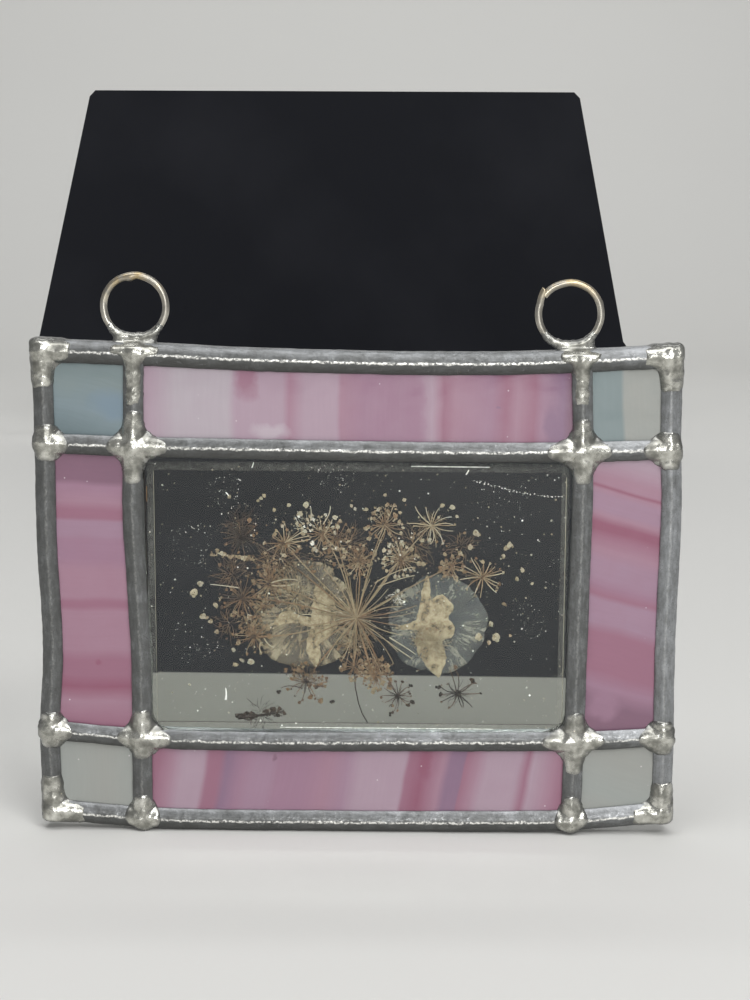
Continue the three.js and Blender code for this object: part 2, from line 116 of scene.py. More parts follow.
class Look:
    """A material in the making: its Principled shader, and short ways to add the nodes that feed it."""

    def __init__(self, name, **values):
        self.material = bpy.data.materials.new(name)
        self.material.use_nodes = True
        self.tree = self.material.node_tree
        self.shader = next(node for node in self.tree.nodes if node.type == "BSDF_PRINCIPLED")
        self.add = adder(self.tree)
        for key, value in values.items():
            self.shader.inputs[key.replace("_", " ")].default_value = value

    def feed(self, **sources):
        """Joins sockets to the shader's inputs of those names."""
        for key, source in sources.items():
            self.tree.links.new(source, self.shader.inputs[key.replace("_", " ")])

    def place(self):
        """Where a point lies in the frame."""
        return self.add("ShaderNodeTexCoord").outputs["Object"]

    def carried(self, label, output="Fac"):
        """What the mesh's own points carry under a label."""
        return self.add("ShaderNodeAttribute", attribute_name=label).outputs[output]

    def grain(self, place, scale, detail, roughness=0.5):
        """A noise pattern, from 0 to 1."""
        inputs = {"Vector": place, "Scale": scale, "Detail": detail, "Roughness": roughness}
        return self.add("ShaderNodeTexNoise", inputs).outputs["Fac"]

    def spread(self, value, low, high, to_low=0.0, to_high=1.0):
        """A value taken from one range to another, and kept within it."""
        inputs = {"Value": value, "From Min": low, "From Max": high, "To Min": to_low, "To Max": to_high}
        return self.add("ShaderNodeMapRange", inputs).outputs["Result"]

    def maths(self, operation, *values, **settings):
        """Maths on plain values."""
        node = self.add("ShaderNodeMath", dict(enumerate(values)), operation=operation, **settings)
        return node.outputs["Value"]

    def vector(self, operation, *values):
        """Maths on vectors; a length or a dot product gives a plain value."""
        output = "Value" if operation in ("LENGTH", "DOT_PRODUCT") else "Vector"
        return self.add("ShaderNodeVectorMath", dict(enumerate(values)), operation=operation).outputs[output]

    def part(self, axis, vector):
        """One axis of a vector."""
        return self.add("ShaderNodeSeparateXYZ", {"Vector": vector}).outputs[axis]

    def ramp(self, factor, *stops):
        """A colour ramp through (place, colour) stops, from 0 to 1."""
        node = self.add("ShaderNodeValToRGB", {"Fac": factor})
        elements = node.color_ramp.elements
        while len(elements) > 1:
            elements.remove(elements[-1])
        elements[0].position, elements[0].color = stops[0]
        for place, colour in stops[1:]:
            elements.new(place).color = colour
        return node.outputs["Color"]

    def mixed(self, factor, first, second):
        """Two colours mixed by a factor."""
        return self.add("ShaderNodeMix", {0: factor, 6: first, 7: second}, data_type="RGBA").outputs[2]

    def relief(self, height, strength, distance):
        """Feeds the shader a relief by a pattern's height."""
        bump = self.add("ShaderNodeBump", {"Height": height, "Strength": strength, "Distance": distance})
        self.feed(Normal=bump.outputs["Normal"])


def paint(red, green, blue):
    """A linear colour from its red, green and blue as a screen shows them, 0 to 255."""
    return (*((c / 255) ** 2.2 for c in (red, green, blue)), 1)


CAMERA_AT = (11.0, -457.4, 99.7)
CAMERA_PITCH, CAMERA_YAW, CAMERA_ROLL = -9.43, -0.79, 0.30
FOCAL_PIXELS, LONG_SIDE_PIXELS = 1800, 1000

camera_data = bpy.data.cameras.new("camera")
camera_data.sensor_width = 36
camera_data.lens = FOCAL_PIXELS / LONG_SIDE_PIXELS * camera_data.sensor_width
camera_data.clip_start = 0.01
camera = linked("camera", camera_data)
turn = (
    Matrix.Rotation(math.radians(-CAMERA_YAW), 3, "Z")
    @ Matrix.Rotation(math.radians(90 + CAMERA_PITCH), 3, "X")
    @ Matrix.Rotation(math.radians(CAMERA_ROLL), 3, "Z")
)
camera.matrix_world = Matrix.Translation(at(*CAMERA_AT)) @ turn.to_4x4()
bpy.context.scene.camera = camera
bpy.context.scene.view_settings.view_transform = "Standard"

FLOOR_NEAR, FLOOR_FAR, FLOOR_HALF, SWEEP_RADIUS, WALL_TOP = -3.0, 1.9, 3.0, 0.5, 2.5


def swept_sheet(name, path, edges, material):
    """A sheet along (y, z) points, with its left and right edge in x given at each."""
    points = [(x, y, z) for (y, z), pair in zip(path, edges) for x in pair]
    obj = mesh_object(name, points, grid_faces(len(path), 2), [material])
    return obj


def quarter(y, z, radius, steps=16):
    """(y, z) points of a floor that turns up into a wall."""
    turns = [i / steps * math.pi / 2 for i in range(steps + 1)]
    return [(y + radius * math.sin(a), z + radius * (1 - math.cos(a))) for a in turns]


pale = Look("pale_floor", Roughness=0.7)
mottle = pale.add("ShaderNodeTexNoise", {"Scale": 6.0, "Detail": 3.0}).outputs["Fac"]
pale.feed(Base_Color=pale.mixed(mottle, (0.68, 0.675, 0.65, 1), (0.74, 0.735, 0.71, 1)))
floor_path = [(FLOOR_NEAR, FLOOR), *quarter(FLOOR_FAR - SWEEP_RADIUS, FLOOR, SWEEP_RADIUS)]
floor_path.append((FLOOR_FAR, FLOOR + WALL_TOP))
swept_sheet("floor", floor_path, [(-FLOOR_HALF, FLOOR_HALF)] * len(floor_path), pale.material)

BACKDROP_NEAR, BACKDROP_DARK, BACKDROP_FAR, BACKDROP_TOP = 0.05, 0.155, 0.8, 0.094
# Painted shadow: the backdrop's near strip is grey, standing for the panel's shadow on the floor behind it;
# the dark cloth begins at BACKDROP_DARK
SHADE_STRIP_SLANT, SHADE_STRIP_BLEND = 0.021, 0.002
BACKDROP_LIFT, BACKDROP_CURVE, BACKDROP_SHOULDER = 0.0006, 0.06, -0.0755
dark = Look("dark_backdrop", Roughness=0.95, Specular_IOR_Level=0.1)
place = dark.place()
cloud = dark.grain(place, 9.0, 6.0)
nap = dark.ramp(cloud, (0.45, (0.017, 0.018, 0.022, 1)), (0.8, (0.026, 0.027, 0.032, 1)))
depth = dark.vector("DOT_PRODUCT", place, (SHADE_STRIP_SLANT, 1, 0))
past_painted_shadow = dark.spread(depth, BACKDROP_DARK, BACKDROP_DARK + SHADE_STRIP_BLEND)
# Grey painted shadow up to the dark cloth, then the cloth's own dark colour
dark.feed(Base_Color=dark.mixed(past_painted_shadow, (0.285, 0.285, 0.255, 1), nap))
backdrop_path = [(BACKDROP_NEAR, FLOOR + BACKDROP_LIFT), (BACKDROP_DARK, FLOOR + BACKDROP_LIFT)]
backdrop_path += quarter(BACKDROP_FAR - BACKDROP_CURVE, FLOOR + BACKDROP_LIFT, BACKDROP_CURVE)
for height in (BACKDROP_SHOULDER, BACKDROP_TOP - 0.004, BACKDROP_TOP):
    backdrop_path.append((BACKDROP_FAR, height))
backdrop_edges = [(-0.09, 0.085), (-0.105, 0.098)] + [(-0.215, 0.172)] * (len(backdrop_path) - 5)
backdrop_edges += [(-0.242, 0.166), (-0.203, 0.132), (-0.199, 0.128)]
swept_sheet("dark_backdrop", backdrop_path, backdrop_edges, dark.material)

world = bpy.data.worlds.new("studio")
world.use_nodes = True
world.node_tree.nodes["Background"].inputs["Color"].default_value = (0.95, 0.97, 1.0, 1)
world.node_tree.nodes["Background"].inputs["Strength"].default_value = 0.22
bpy.context.scene.world = world


def soft_lamp(name, place, aim, width, height, power):
    """A soft rectangular lamp turned towards a point, with its power in watts."""
    data = bpy.data.lights.new(name, "AREA")
    data.shape = "RECTANGLE"
    data.size = width
    data.size_y = height
    data.energy = power
    lamp = linked(name, data)
    lamp.location = place
    lamp.rotation_euler = (Vector(aim) - Vector(place)).to_track_quat("-Z", "Y").to_euler()


PANEL_MIDDLE = (0, 0, -0.08)
soft_lamp("lamp_low", (0.12, -1.3, 0.2), PANEL_MIDDLE, 0.2, 0.05, 5.0)
soft_lamp("lamp_key", (0.45, -0.85, 0.75), PANEL_MIDDLE, 0.5, 0.3, 5.2)
soft_lamp("lamp_top", (-0.05, -0.45, 1.1), (0, -0.1, -0.08), 1.3, 0.7, 8.5)
soft_lamp("lamp_wall", (0, 0.75, 1.3), (0, 1.9, 0.1), 1.6, 0.4, 10.5)

# Papery blooms
# Two faded flowers lie flat behind the large flower head. Each is a round corolla of thin, see-through,
# wrinkled petals with a thicker tan calyx on its middle; the clear panes press it in place.
PETAL_THICKNESS, LOBE_THICKNESS = 0.04, 0.06
PETAL_ROWS, PETAL_COLUMNS = 18, 19
LOBE_ROWS, LOBE_COLUMNS = 5, 11
ALONG_FIBRES, ACROSS_FIBRES = 190, 8.0


def ripple(x, y, z):
    """Smooth noise at a place, about -1 to 1."""
    return noise.noise(Vector((x, y, z)))


def between(stops, t):
    """A value from evenly spaced stops at t from 0 to 1, on a smooth curve through them."""
    place = min(max(t, 0), 1) * (len(stops) - 1)
    i = min(int(place), len(stops) - 2)
    before, here = stops[max(i - 1, 0)], stops[i]
    there, after = stops[i + 1], stops[min(i + 2, len(stops) - 1)]
    f = place - i
    pull = -before + 3 * here - 3 * there + after
    return here + 0.5 * f * (there - before + f * (2 * before - 5 * here + 4 * there - after + f * pull))


def sheet_faces(rows, columns):
    """Faces of a thin sheet: a front grid of points, the same grid behind it, and the rim between them."""
    count = rows * columns
    faces = grid_faces(rows, columns)
    faces += [tuple(count + k for k in reversed(face)) for face in faces]
    rim = list(range(columns - 1)) + [i * columns + columns - 1 for i in range(rows - 1)]
    rim += [(rows - 1) * columns + j for j in range(columns - 1, 0, -1)]
    rim += [i * columns for i in range(rows - 1, 0, -1)]
    return faces + [(b, a, count + a, count + b) for a, b in zip(rim, rim[1:] + rim[:1])]


def shell(points_front, rows, columns, thickness, name, material):
    """A closed thin sheet from a grid of points on its front; its back lies a thickness behind."""
    front = [at(x, y, z) for x, y, z in points_front]
    back = [at(x, y + thickness, z) for x, y, z in points_front]
    return outward(mesh_object(name, front + back, sheet_faces(rows, columns), [material]))


def outward(obj):
    """Merges doubled points and turns every face outwards."""
    tidy = bmesh.new()
    tidy.from_mesh(obj.data)
    bmesh.ops.remove_doubles(tidy, verts=tidy.verts, dist=1e-7)
    bmesh.ops.recalc_face_normals(tidy, faces=tidy.faces)
    tidy.to_mesh(obj.data)
    tidy.free()
    return obj


def joined(name, objects):
    """One object from several, with its origin left at the frame's."""
    whole = bmesh.new()
    materials = list(objects[0].data.materials)
    for obj in objects:
        for material in obj.data.materials:
            if material not in materials:
                materials.append(material)
        first = len(whole.faces)
        whole.from_mesh(obj.data)
        whole.faces.ensure_lookup_table()
        own = [materials.index(material) for material in obj.data.materials]
        for face in whole.faces[first:]:
            face.material_index = own[face.material_index]
    for obj in objects:
        bpy.data.objects.remove(obj)
    mesh = bpy.data.meshes.new(name)
    whole.to_mesh(mesh)
    whole.free()
    for material in materials:
        mesh.materials.append(material)
    return linked(name, mesh)


def petal(centre, heading, spread, reach, layer, seed, material):
    """A thin fan of a petal from the bloom's middle out, radially creased, with a frayed end."""
    points = []
    for i in range(PETAL_ROWS):
        out = (i + 0.4) / (PETAL_ROWS - 0.6)
        for j in range(PETAL_COLUMNS):
            side = j / (PETAL_COLUMNS - 1) * 2 - 1
            angle = math.radians(heading + side * spread * (0.5 + 0.5 * min(1, 1.6 * out)))
            fray = ripple(3.1 * angle, seed, 0) * 0.7 + ripple(11 * angle, seed, 4) * 0.25
            length = (reach + fray) * out * (1 - 0.1 * side ** 4)
            crease = ripple(9 * angle, seed, 0.12 * out) * 0.05
            crumple = ripple(5 * out, 3 * side, seed) * 0.04
            x, z = centre[0] + length * math.cos(angle), centre[1] + length * math.sin(angle)
            points.append((x, layer + crease + crumple, z))
    return shell(points, PETAL_ROWS, PETAL_COLUMNS, PETAL_THICKNESS, "petal", material)


def lobe(spine, layer, seed, material):
    """A fleshy calyx lobe along a spine of (x, z, half width) points, thickest along its middle."""
    rows = LOBE_ROWS * len(spine)
    points = []
    xs, zs, halves = zip(*spine)
    for i in range(rows):
        t = i / (rows - 1)
        x, z, half = between(xs, t), between(zs, t), max(between(halves, t), 0.02)
        ahead_x = between(xs, t + 0.02) - between(xs, t - 0.02)
        ahead_z = between(zs, t + 0.02) - between(zs, t - 0.02)
        ahead = Vector((ahead_x, ahead_z)).normalized()
        for j in range(LOBE_COLUMNS):
            side = j / (LOBE_COLUMNS - 1) * 2 - 1
            wave = ripple(x * 0.6, z * 0.6, seed + side)
            tatter = ripple(x * 1.7, z * 1.7, seed + 3 * side)
            width = half * side * (1 + 0.3 * wave + 0.22 * tatter)
            crease = ripple(side * 4, t * 1.5, seed) * 0.05
            depth = layer - 0.05 * (1 - side * side) + crease
            points.append((x + ahead.y * width, depth, z - ahead.x * width))
    return shell(points, rows, LOBE_COLUMNS, LOBE_THICKNESS, "lobe", material)


def papery_material(name, centre, colours, lightest, densest):
    """Thin dried tissue: fibres run out from the bloom's middle, with browner patches, half clear."""
    look = Look(name, Roughness=0.75)
    place = look.place()
    from_middle = look.vector("SUBTRACT", place, at(centre[0], 0, centre[1]))
    way = look.vector("MULTIPLY", look.vector("NORMALIZE", from_middle), (ACROSS_FIBRES,) * 3)
    out = look.add("ShaderNodeCombineXYZ", {"Y": look.vector("LENGTH", from_middle)}).outputs["Vector"]
    drawn = look.vector("MULTIPLY_ADD", out, (0, ALONG_FIBRES, 0), way)
    thread = look.spread(look.grain(drawn, 1.0, 7.0, 0.65), 0.46, 0.66)
    body = look.spread(look.grain(place, 130.0, 6.0, 0.7), 0.4, 0.64, 0.0, 0.75)
    dense = look.maths("MULTIPLY_ADD", thread, 0.75, body, use_clamp=True)
    look.feed(Base_Color=look.ramp(dense, *zip((0.0, 0.4, 0.7, 1.0), colours)))
    look.feed(Alpha=look.spread(dense, 0.0, 1.0, lightest, densest))
    return look.material


def fleshy_material():
    """Tan calyx flesh, mottled and lightly fibrous."""
    look = Look("calyx_flesh", Roughness=0.8)
    mottle = look.grain(look.place(), 420.0, 6.0, 0.65)
    look.feed(Base_Color=look.ramp(
        mottle, (0.34, paint(104, 92, 72)), (0.44, paint(130, 117, 94)), (0.55, paint(139, 129, 106)),
        (0.7, paint(154, 145, 122)),
    ))
    look.relief(mottle, 0.8, 0.0003)
    look.feed(Alpha=look.spread(mottle, 0.38, 0.54, 0.6, 1.0))
    return look.material


def bloom(node, centre, petals, lobes, tissue):
    """One faded flower, with its petals behind its calyx lobes."""
    pieces = [petal(centre, heading, spread, reach, layer, seed, tissue)
              for seed, (heading, spread, reach, layer) in enumerate(petals)]
    pieces += [lobe(spine, layer, 10 + k, FLESH) for k, (layer, spine) in enumerate(lobes)]
    obj = joined("bloom_" + node, pieces)
    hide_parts(node)
    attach(obj, "root")


FLESH = fleshy_material()
LEFT_MIDDLE, RIGHT_MIDDLE = (-13, -6.8), (20.5, -9)
TAN = [paint(92, 89, 82), paint(102, 94, 80), paint(118, 109, 92), paint(136, 128, 109)]
GREY = [paint(78, 84, 87), paint(88, 91, 90), paint(104, 105, 98), paint(122, 121, 111)]
TISSUE_TAN = papery_material("petal_tissue_tan", LEFT_MIDDLE, TAN, 0.48, 0.84)
TISSUE_GREY = papery_material("petal_tissue_grey", RIGHT_MIDDLE, GREY, 0.38, 0.78)
# Petals as (heading, half spread, reach, depth); lobes as (depth, spine)
LEFT_PETALS = [
    (100, 44, 14.6, 0.16), (165, 42, 13.4, 0.2), (232, 42, 14.6, 0.24), (300, 42, 14.2, 0.18),
    (25, 40, 13, 0.14),
]
LEFT_LOBES = [
    (0.1, [(-10.4, 1.2, 0.2), (-9.6, -1.5, 2), (-8.6, -5, 3.3), (-8.6, -9, 3.4), (-9.6, -12.5, 2),
           (-10, -14.6, 0.2)]),
    (0.14, [(-5, -9.6, 0.2), (-9, -9.2, 1.4), (-14, -8.2, 1.2), (-18, -7.4, 1.6), (-20.5, -8.8, 0.9),
            (-22, -10, 0.1)]),
    (0.16, [(-11.5, -11, 0.6), (-11.4, -14.5, 1.7), (-10.8, -18, 1.4), (-10.4, -20.6, 0.2)]),
]
RIGHT_PETALS = [
    (10, 46, 13.6, 0.24), (75, 40, 13.4, 0.18), (150, 40, 12.4, 0.2), (228, 40, 12.8, 0.16),
    (300, 42, 13.4, 0.22),
]
RIGHT_LOBES = [
    (0.1, [(18.4, 4.2, 0.2), (18.2, 0.5, 1.1), (17.9, -4, 1.5), (18, -9, 2.2), (18.4, -11, 0.4)]),
    (0.06, [(9.9, -10, 0.1), (12.6, -9.8, 0.7), (15.4, -9.3, 1.2), (18, -9, 2.4), (20, -9, 0.6)]),
    (0.12, [(17, -8.4, 0.6), (19.6, -6.4, 3), (22.4, -4.6, 3.4), (24.6, -4, 1.4), (25.2, -3.8, 0.1)]),
    (0.1, [(17.4, -9.6, 0.6), (20.4, -10.4, 3.4), (23.4, -11, 3), (25, -12.2, 0.6)]),
    (0.14, [(18, -9.4, 0.6), (18.6, -13.4, 3.6), (20.2, -17.6, 3.2), (21.2, -21, 1.7), (21.6, -23.3, 0.1)]),
]
bloom("papery_bloom_left", LEFT_MIDDLE, LEFT_PETALS, LEFT_LOBES, TISSUE_TAN)
bloom("papery_bloom_right", RIGHT_MIDDLE, RIGHT_PETALS, RIGHT_LOBES, TISSUE_GREY)

# Large flower head
# A dried compound umbel, grown as one piece: straw rays spread from its hub to small umbels of thin curved
# stalks that carry shrivelled buds and florets. It is pressed flat in front of the blooms.
HUB = (0.1, -7.3)
STRAND_SIDES, TURN_SEED = 5, 0
HAIR_HALF, HAIR_TIP_HALF = 0.06, 0.04
# Strands thinner than the limit are hairs, with three sides and a wider profile to look as thick
HAIR_LIMIT, HAIR_SIDES, HAIR_WIDER = 0.065, 3, 1.13
BUD_POINT_HALF = 0.1
PRESSED_DEPTH = -0.2


class Plant:
    """Strands and buds of one dried piece, as the points of one mesh with attributes for the tree."""

    def __init__(self, seed):
        self.random = random.Random(seed)
        self.points = []
        self.edges = []
        self.thick = []
        self.tint = []
        self.bud = []
        self.kind = []

    def add(self, point, thick, tint, bud=0.0, kind=0):
        self.points.append(at(*point))
        self.thick.append(thick * MM)
        self.tint.append(tint)
        self.bud.append(bud)
        self.kind.append(kind)

    def strand(self, path, start, end, tint, tint_end=None):
        """A stalk along (x, y, z) points, with a half thickness and tint at each end."""
        first = len(self.points)
        for i, point in enumerate(path):
            t = i / (len(path) - 1)
            shade = tint + ((tint_end if tint_end is not None else tint) - tint) * t
            self.add(point, start + (end - start) * t, shade)
        self.edges += [(k, k + 1) for k in range(first, len(self.points) - 1)]

    def arc(self, start, heading, length, bend, depth, depth_end, steps=7):
        """Points of a curved stalk from a start; the heading and bend are in degrees."""
        x, z = start
        path = [(x, depth, z)]
        wobble = self.random.uniform(-6, 6)
        for i in range(steps):
            t = (i + 0.5) / steps
            angle = math.radians(heading + bend * t * t + wobble * math.sin(5 * t))
            x += length / steps * math.cos(angle)
            z += length / steps * math.sin(angle)
            path.append((x, depth + (depth_end - depth) * (i + 1) / steps, z))
        return path

    def umbel(self, centre, reach, count, tint, bud_tint, buds, bend, thick=0.16):
        """A small umbel seen flat: curved stalks spread from one point, with buds at their ends."""
        pick = self.random
        for i in range(count):
            heading = 360 * (i + pick.uniform(-0.3, 0.3)) / count
            length = reach * pick.uniform(0.6, 1.08)
            turn = bend * pick.uniform(-1, 1)
            deep = PRESSED_DEPTH + pick.uniform(-0.07, 0.07)
            path = self.arc(centre, heading, length, turn, deep, deep + pick.uniform(-0.05, 0.05))
            shade = tint + pick.uniform(-0.16, 0.2)
            self.strand(path, thick * pick.uniform(0.7, 1.25), thick * 0.5, shade - 0.16, shade + 0.14)
            for _ in range(int(buds) + (pick.random() < buds % 1)):
                x, y, z = path[-1]
                away = pick.uniform(0, 0.8)
                angle = pick.uniform(0, 2 * math.pi)
                spot = (x + away * math.cos(angle), y, z + away * math.sin(angle))
                shade, size = bud_tint + pick.uniform(-0.2, 0.25), pick.uniform(0.8, 1.6)
                kind = pick.choice((BUD, BUD, FLORET, FLORET, SEED_PAIR))
                self.add(spot, BUD_POINT_HALF, shade, size, kind)
        self.fuzz(centre, reach * 0.8, count * 2, tint - 0.06)
        self.cluster(centre, 0.6, 5, tint - 0.28, 1.3, depth=PRESSED_DEPTH - 0.06)

    def fuzz(self, centre, reach, count, tint):
        """Fine hairs and broken stalks that spread from about one place."""
        pick = self.random
        for _ in range(count):
            away, angle = reach * 0.5 * pick.random(), pick.uniform(0, 2 * math.pi)
            start = (centre[0] + away * math.cos(angle), centre[1] + away * math.sin(angle))
            heading = math.degrees(angle) + pick.uniform(-60, 60)
            length, turn = reach * pick.uniform(0.2, 0.6), pick.uniform(-80, 80)
            deep = PRESSED_DEPTH + pick.uniform(-0.08, 0.08)
            path = self.arc(start, heading, length, turn, PRESSED_DEPTH, deep, 4)
            self.strand(path, HAIR_HALF, HAIR_TIP_HALF, tint + pick.uniform(-0.15, 0.15))

    def cluster(
        self, centre, spread, count, tint, size=1.0, vary=0.18, depth=PRESSED_DEPTH, kinds=(0, 1, 2),
        flat=1.0,
    ):
        """Buds and florets strewn about a place; flat squeezes the patch in height."""
        pick = self.random
        for _ in range(count):
            away, angle = spread * math.sqrt(pick.random()), pick.uniform(0, 2 * math.pi)
            deep = depth + pick.uniform(-0.06, 0.06)
            spot = (centre[0] + away * math.cos(angle), deep, centre[1] + flat * away * math.sin(angle))
            shade, scale = tint + pick.uniform(-vary, vary), size * pick.uniform(0.6, 1.3)
            self.add(spot, BUD_POINT_HALF, shade, scale, pick.choice(kinds))

    def make(self, name, material):
        """The finished piece as a plain mesh."""
        mesh = bpy.data.meshes.new(name)
        mesh.from_pydata([tuple(p) for p in self.points], self.edges, [])
        for label, kind, values in (("thick", "FLOAT", self.thick), ("tint", "FLOAT", self.tint),
                                    ("bud", "FLOAT", self.bud), ("kind", "INT", self.kind)):
            mesh.attributes.new(label, kind, "POINT").data.foreach_set("value", values)
        inputs = {"Material": material, "Sides": STRAND_SIDES, "Turn Seed": TURN_SEED}
        values = {PLANT_INPUTS[label]: value for label, value in inputs.items()}
        return settled(linked(name, mesh), PLANT_TREE, values)


def settled(obj, tree, values):
    """The plain mesh that a node tree makes of an object, with the tree's inputs set by identifier."""
    modifier = obj.modifiers.new(tree.name, "NODES")
    modifier.node_group = tree
    for identifier, value in values.items():
        modifier[identifier] = value
    evaluated = obj.evaluated_get(bpy.context.evaluated_depsgraph_get())
    mesh = bpy.data.meshes.new_from_object(evaluated)
    obj.modifiers.clear()
    obj.data = mesh
    mesh.shade_smooth()
    return obj


def small_shape(name, blobs, around, along):
    """One mesh of small lumps, each as (centre, half lengths, turn) in mm, roughened by noise."""
    whole = bmesh.new()
    for centre, size, turn in blobs:
        matrix = Matrix.Translation(Vector(centre) * MM) @ Matrix.Rotation(turn, 4, "Y")
        matrix = matrix @ Matrix.Diagonal((*(Vector(size) * MM), 1))
        bmesh.ops.create_uvsphere(whole, u_segments=around, v_segments=along, radius=1, matrix=matrix)
    for vert in whole.verts:
        vert.co += Vector(noise.noise_vector(vert.co * 3500)) * 0.05 * MM
    mesh = bpy.data.meshes.new(name)
    whole.to_mesh(mesh)
    whole.free()
    return linked(name, mesh)


def floret_blobs():
    """Five shrunken petals round a small middle, no two alike."""
    blobs = [((0, 0, 0), (0.16, 0.13, 0.16), 0)]
    for i, reach in enumerate((0.24, 0.3, 0.2, 0.27, 0.22)):
        angle = (i + 0.3 * math.sin(7 * i)) * 2 * math.pi / 5
        centre = (reach * math.cos(angle), 0.03 * math.sin(2 * i), reach * math.sin(angle))
        blobs.append((centre, (0.2, 0.07, 0.24), -angle))
    return blobs


SEED_BLOBS = [((-0.13, 0, 0), (0.12, 0.12, 0.3), 0.2), ((0.14, 0, 0), (0.12, 0.12, 0.28), -0.25)]
BUD_SHAPES = [
    small_shape("bud", [((0, 0, 0), (0.24, 0.17, 0.34), 0)], 6, 4),
    small_shape("floret", floret_blobs(), 5, 3),
    small_shape("seed_pair", SEED_BLOBS, 5, 4),
]
BUD, FLORET, SEED_PAIR = range(3)


def plant_tree():
    """Strands become thin tubes and each bud point gets one of the small shapes, turned by chance."""
    tree = bpy.data.node_groups.new("dried_plant", "GeometryNodeTree")
    add = adder(tree)
    tree.interface.new_socket("Geometry", in_out="OUTPUT", socket_type="NodeSocketGeometry")
    names = {}
    for label, kind in (
        ("Geometry", "Geometry"), ("Sides", "Int"), ("Turn Seed", "Int"), ("Material", "Material"),
    ):
        socket = tree.interface.new_socket(label, in_out="INPUT", socket_type="NodeSocket" + kind)
        names[label] = socket.identifier
    enter = tree.nodes.new("NodeGroupInput").outputs

    def carried(label, kind="FLOAT"):
        return add("GeometryNodeInputNamedAttribute", {"Name": label}, data_type=kind).outputs["Attribute"]

    thick, bud, kind = carried("thick"), carried("bud"), carried("kind", "INT")
    curve = add("GeometryNodeMeshToCurve", {"Mesh": enter["Geometry"]})
    thin = add("FunctionNodeCompare", {"A": thick, "B": HAIR_LIMIT * MM}, operation="LESS_THAN")
    inputs = {"Geometry": curve.outputs["Curve"], "Selection": thin.outputs["Result"]}
    parts = add("GeometryNodeSeparateGeometry", inputs, domain="CURVE")
    both = add("GeometryNodeJoinGeometry")
    for part, sides, radius in (("Selection", HAIR_SIDES, HAIR_WIDER), ("Inverted", enter["Sides"], 1.0)):
        ring = add("GeometryNodeCurvePrimitiveCircle", {"Resolution": sides, "Radius": radius})
        tube = add("GeometryNodeCurveToMesh", {
            "Curve": parts.outputs[part], "Profile Curve": ring.outputs["Curve"], "Scale": thick,
            "Fill Caps": True,
        })
        tree.links.new(tube.outputs["Mesh"], both.inputs["Geometry"])
    shapes = add("GeometryNodeJoinGeometry")
    for shape in reversed(BUD_SHAPES):
        info = add("GeometryNodeObjectInfo", {"Object": shape, "As Instance": True})
        tree.links.new(info.outputs["Geometry"], shapes.inputs["Geometry"])
    turned = add("FunctionNodeRandomValue", {
        "Min": (-0.25, 0.0, -0.25), "Max": (0.25, 2 * math.pi, 0.25), "Seed": enter["Turn Seed"],
    }, data_type="FLOAT_VECTOR")
    picked = add("FunctionNodeCompare", {"A": bud, "B": 0.01}, operation="GREATER_THAN")
    buds = add("GeometryNodeInstanceOnPoints", {
        "Points": enter["Geometry"], "Selection": picked.outputs["Result"],
        "Instance": shapes.outputs["Geometry"], "Pick Instance": True, "Instance Index": kind,
        "Rotation": turned.outputs["Value"], "Scale": bud,
    })
    tree.links.new(buds.outputs["Instances"], both.inputs["Geometry"])
    real = add("GeometryNodeRealizeInstances", {"Geometry": both.outputs["Geometry"]})
    inputs = {"Geometry": real.outputs["Geometry"], "Material": enter["Material"]}
    done = add("GeometryNodeSetMaterial", inputs)
    leave = tree.nodes.new("NodeGroupOutput")
    tree.links.new(done.outputs["Geometry"], leave.inputs["Geometry"])
    return tree, names


PLANT_TREE, PLANT_INPUTS = plant_tree()


def straw_material():
    """Dried plant matter from dark brown to pale straw by each strand's own tint, with fine grain; the
    highest tints are near white, for pale dust and for painted glints and highlight lines on the glass.
    """
    look = Look("dried_straw_and_painted_glints", Roughness=0.7)
    grain = look.grain(look.place(), 1500.0, 4.0)
    shade = look.maths("ADD", look.carried("tint"), look.spread(grain, 0.0, 1.0, -0.14, 0.14))
    # The top stop is near white: pale dust, and the painted glints and highlight lines
    look.feed(Base_Color=look.ramp(
        shade, (0.0, paint(30, 27, 24)), (0.16, paint(56, 47, 40)), (0.34, paint(84, 66, 50)),
        (0.44, paint(107, 84, 60)), (0.54, paint(104, 92, 73)), (0.66, paint(124, 111, 88)),
        (0.8, paint(145, 138, 117)), (0.92, paint(150, 150, 138)), (1.0, paint(236, 236, 230)),
    ))
    look.relief(grain, 0.5, 0.00005)
    return look.material


STRAW_AND_GLINTS = straw_material()
# Each small umbel as (x, z, reach, stalks, tint, bud tint, buds to a stalk, bend)
SMALL_UMBELS = [
    (-18.6, 12.3, 4.9, 18, 0.56, 0.62, 1.6, 35), (-8.9, 14.8, 5.2, 18, 0.55, 0.74, 2.2, 30),
    (-5.2, 13.7, 4.6, 14, 0.45, 0.55, 1.8, 30), (0.6, 7.9, 4.4, 18, 0.46, 0.55, 2.4, 30),
    (7.2, 17.4, 5.2, 20, 0.5, 0.62, 1.8, 35), (19.4, 17.2, 5.6, 19, 0.64, 0.7, 0.5, 55),
    (11.5, 8.3, 5.0, 22, 0.52, 0.66, 2.0, 30), (24.6, 6.5, 3.6, 12, 0.5, 0.5, 2.4, 30),
    (-29.8, 13.8, 5.6, 26, 0.1, 0.24, 0.6, 25), (-22.3, 1.6, 5.2, 24, 0.44, 0.46, 1.4, 30),
    (-29.6, -2.4, 5.6, 24, 0.3, 0.36, 1.6, 30), (-26.5, -12.4, 5.0, 20, 0.42, 0.42, 1.8, 45),
    (-13.2, -24.5, 5.0, 14, 0.24, 0.34, 1.8, 35), (-0.4, -20.4, 3.8, 16, 0.42, 0.44, 2.4, 30),
    (5.2, -22.6, 4.4, 22, 0.42, 0.44, 3.0, 30), (11.0, -28.2, 4.2, 14, 0.18, 0.28, 1.2, 40),
]
RAY_HALF, RAY_TIP_HALF = 0.22, 0.16
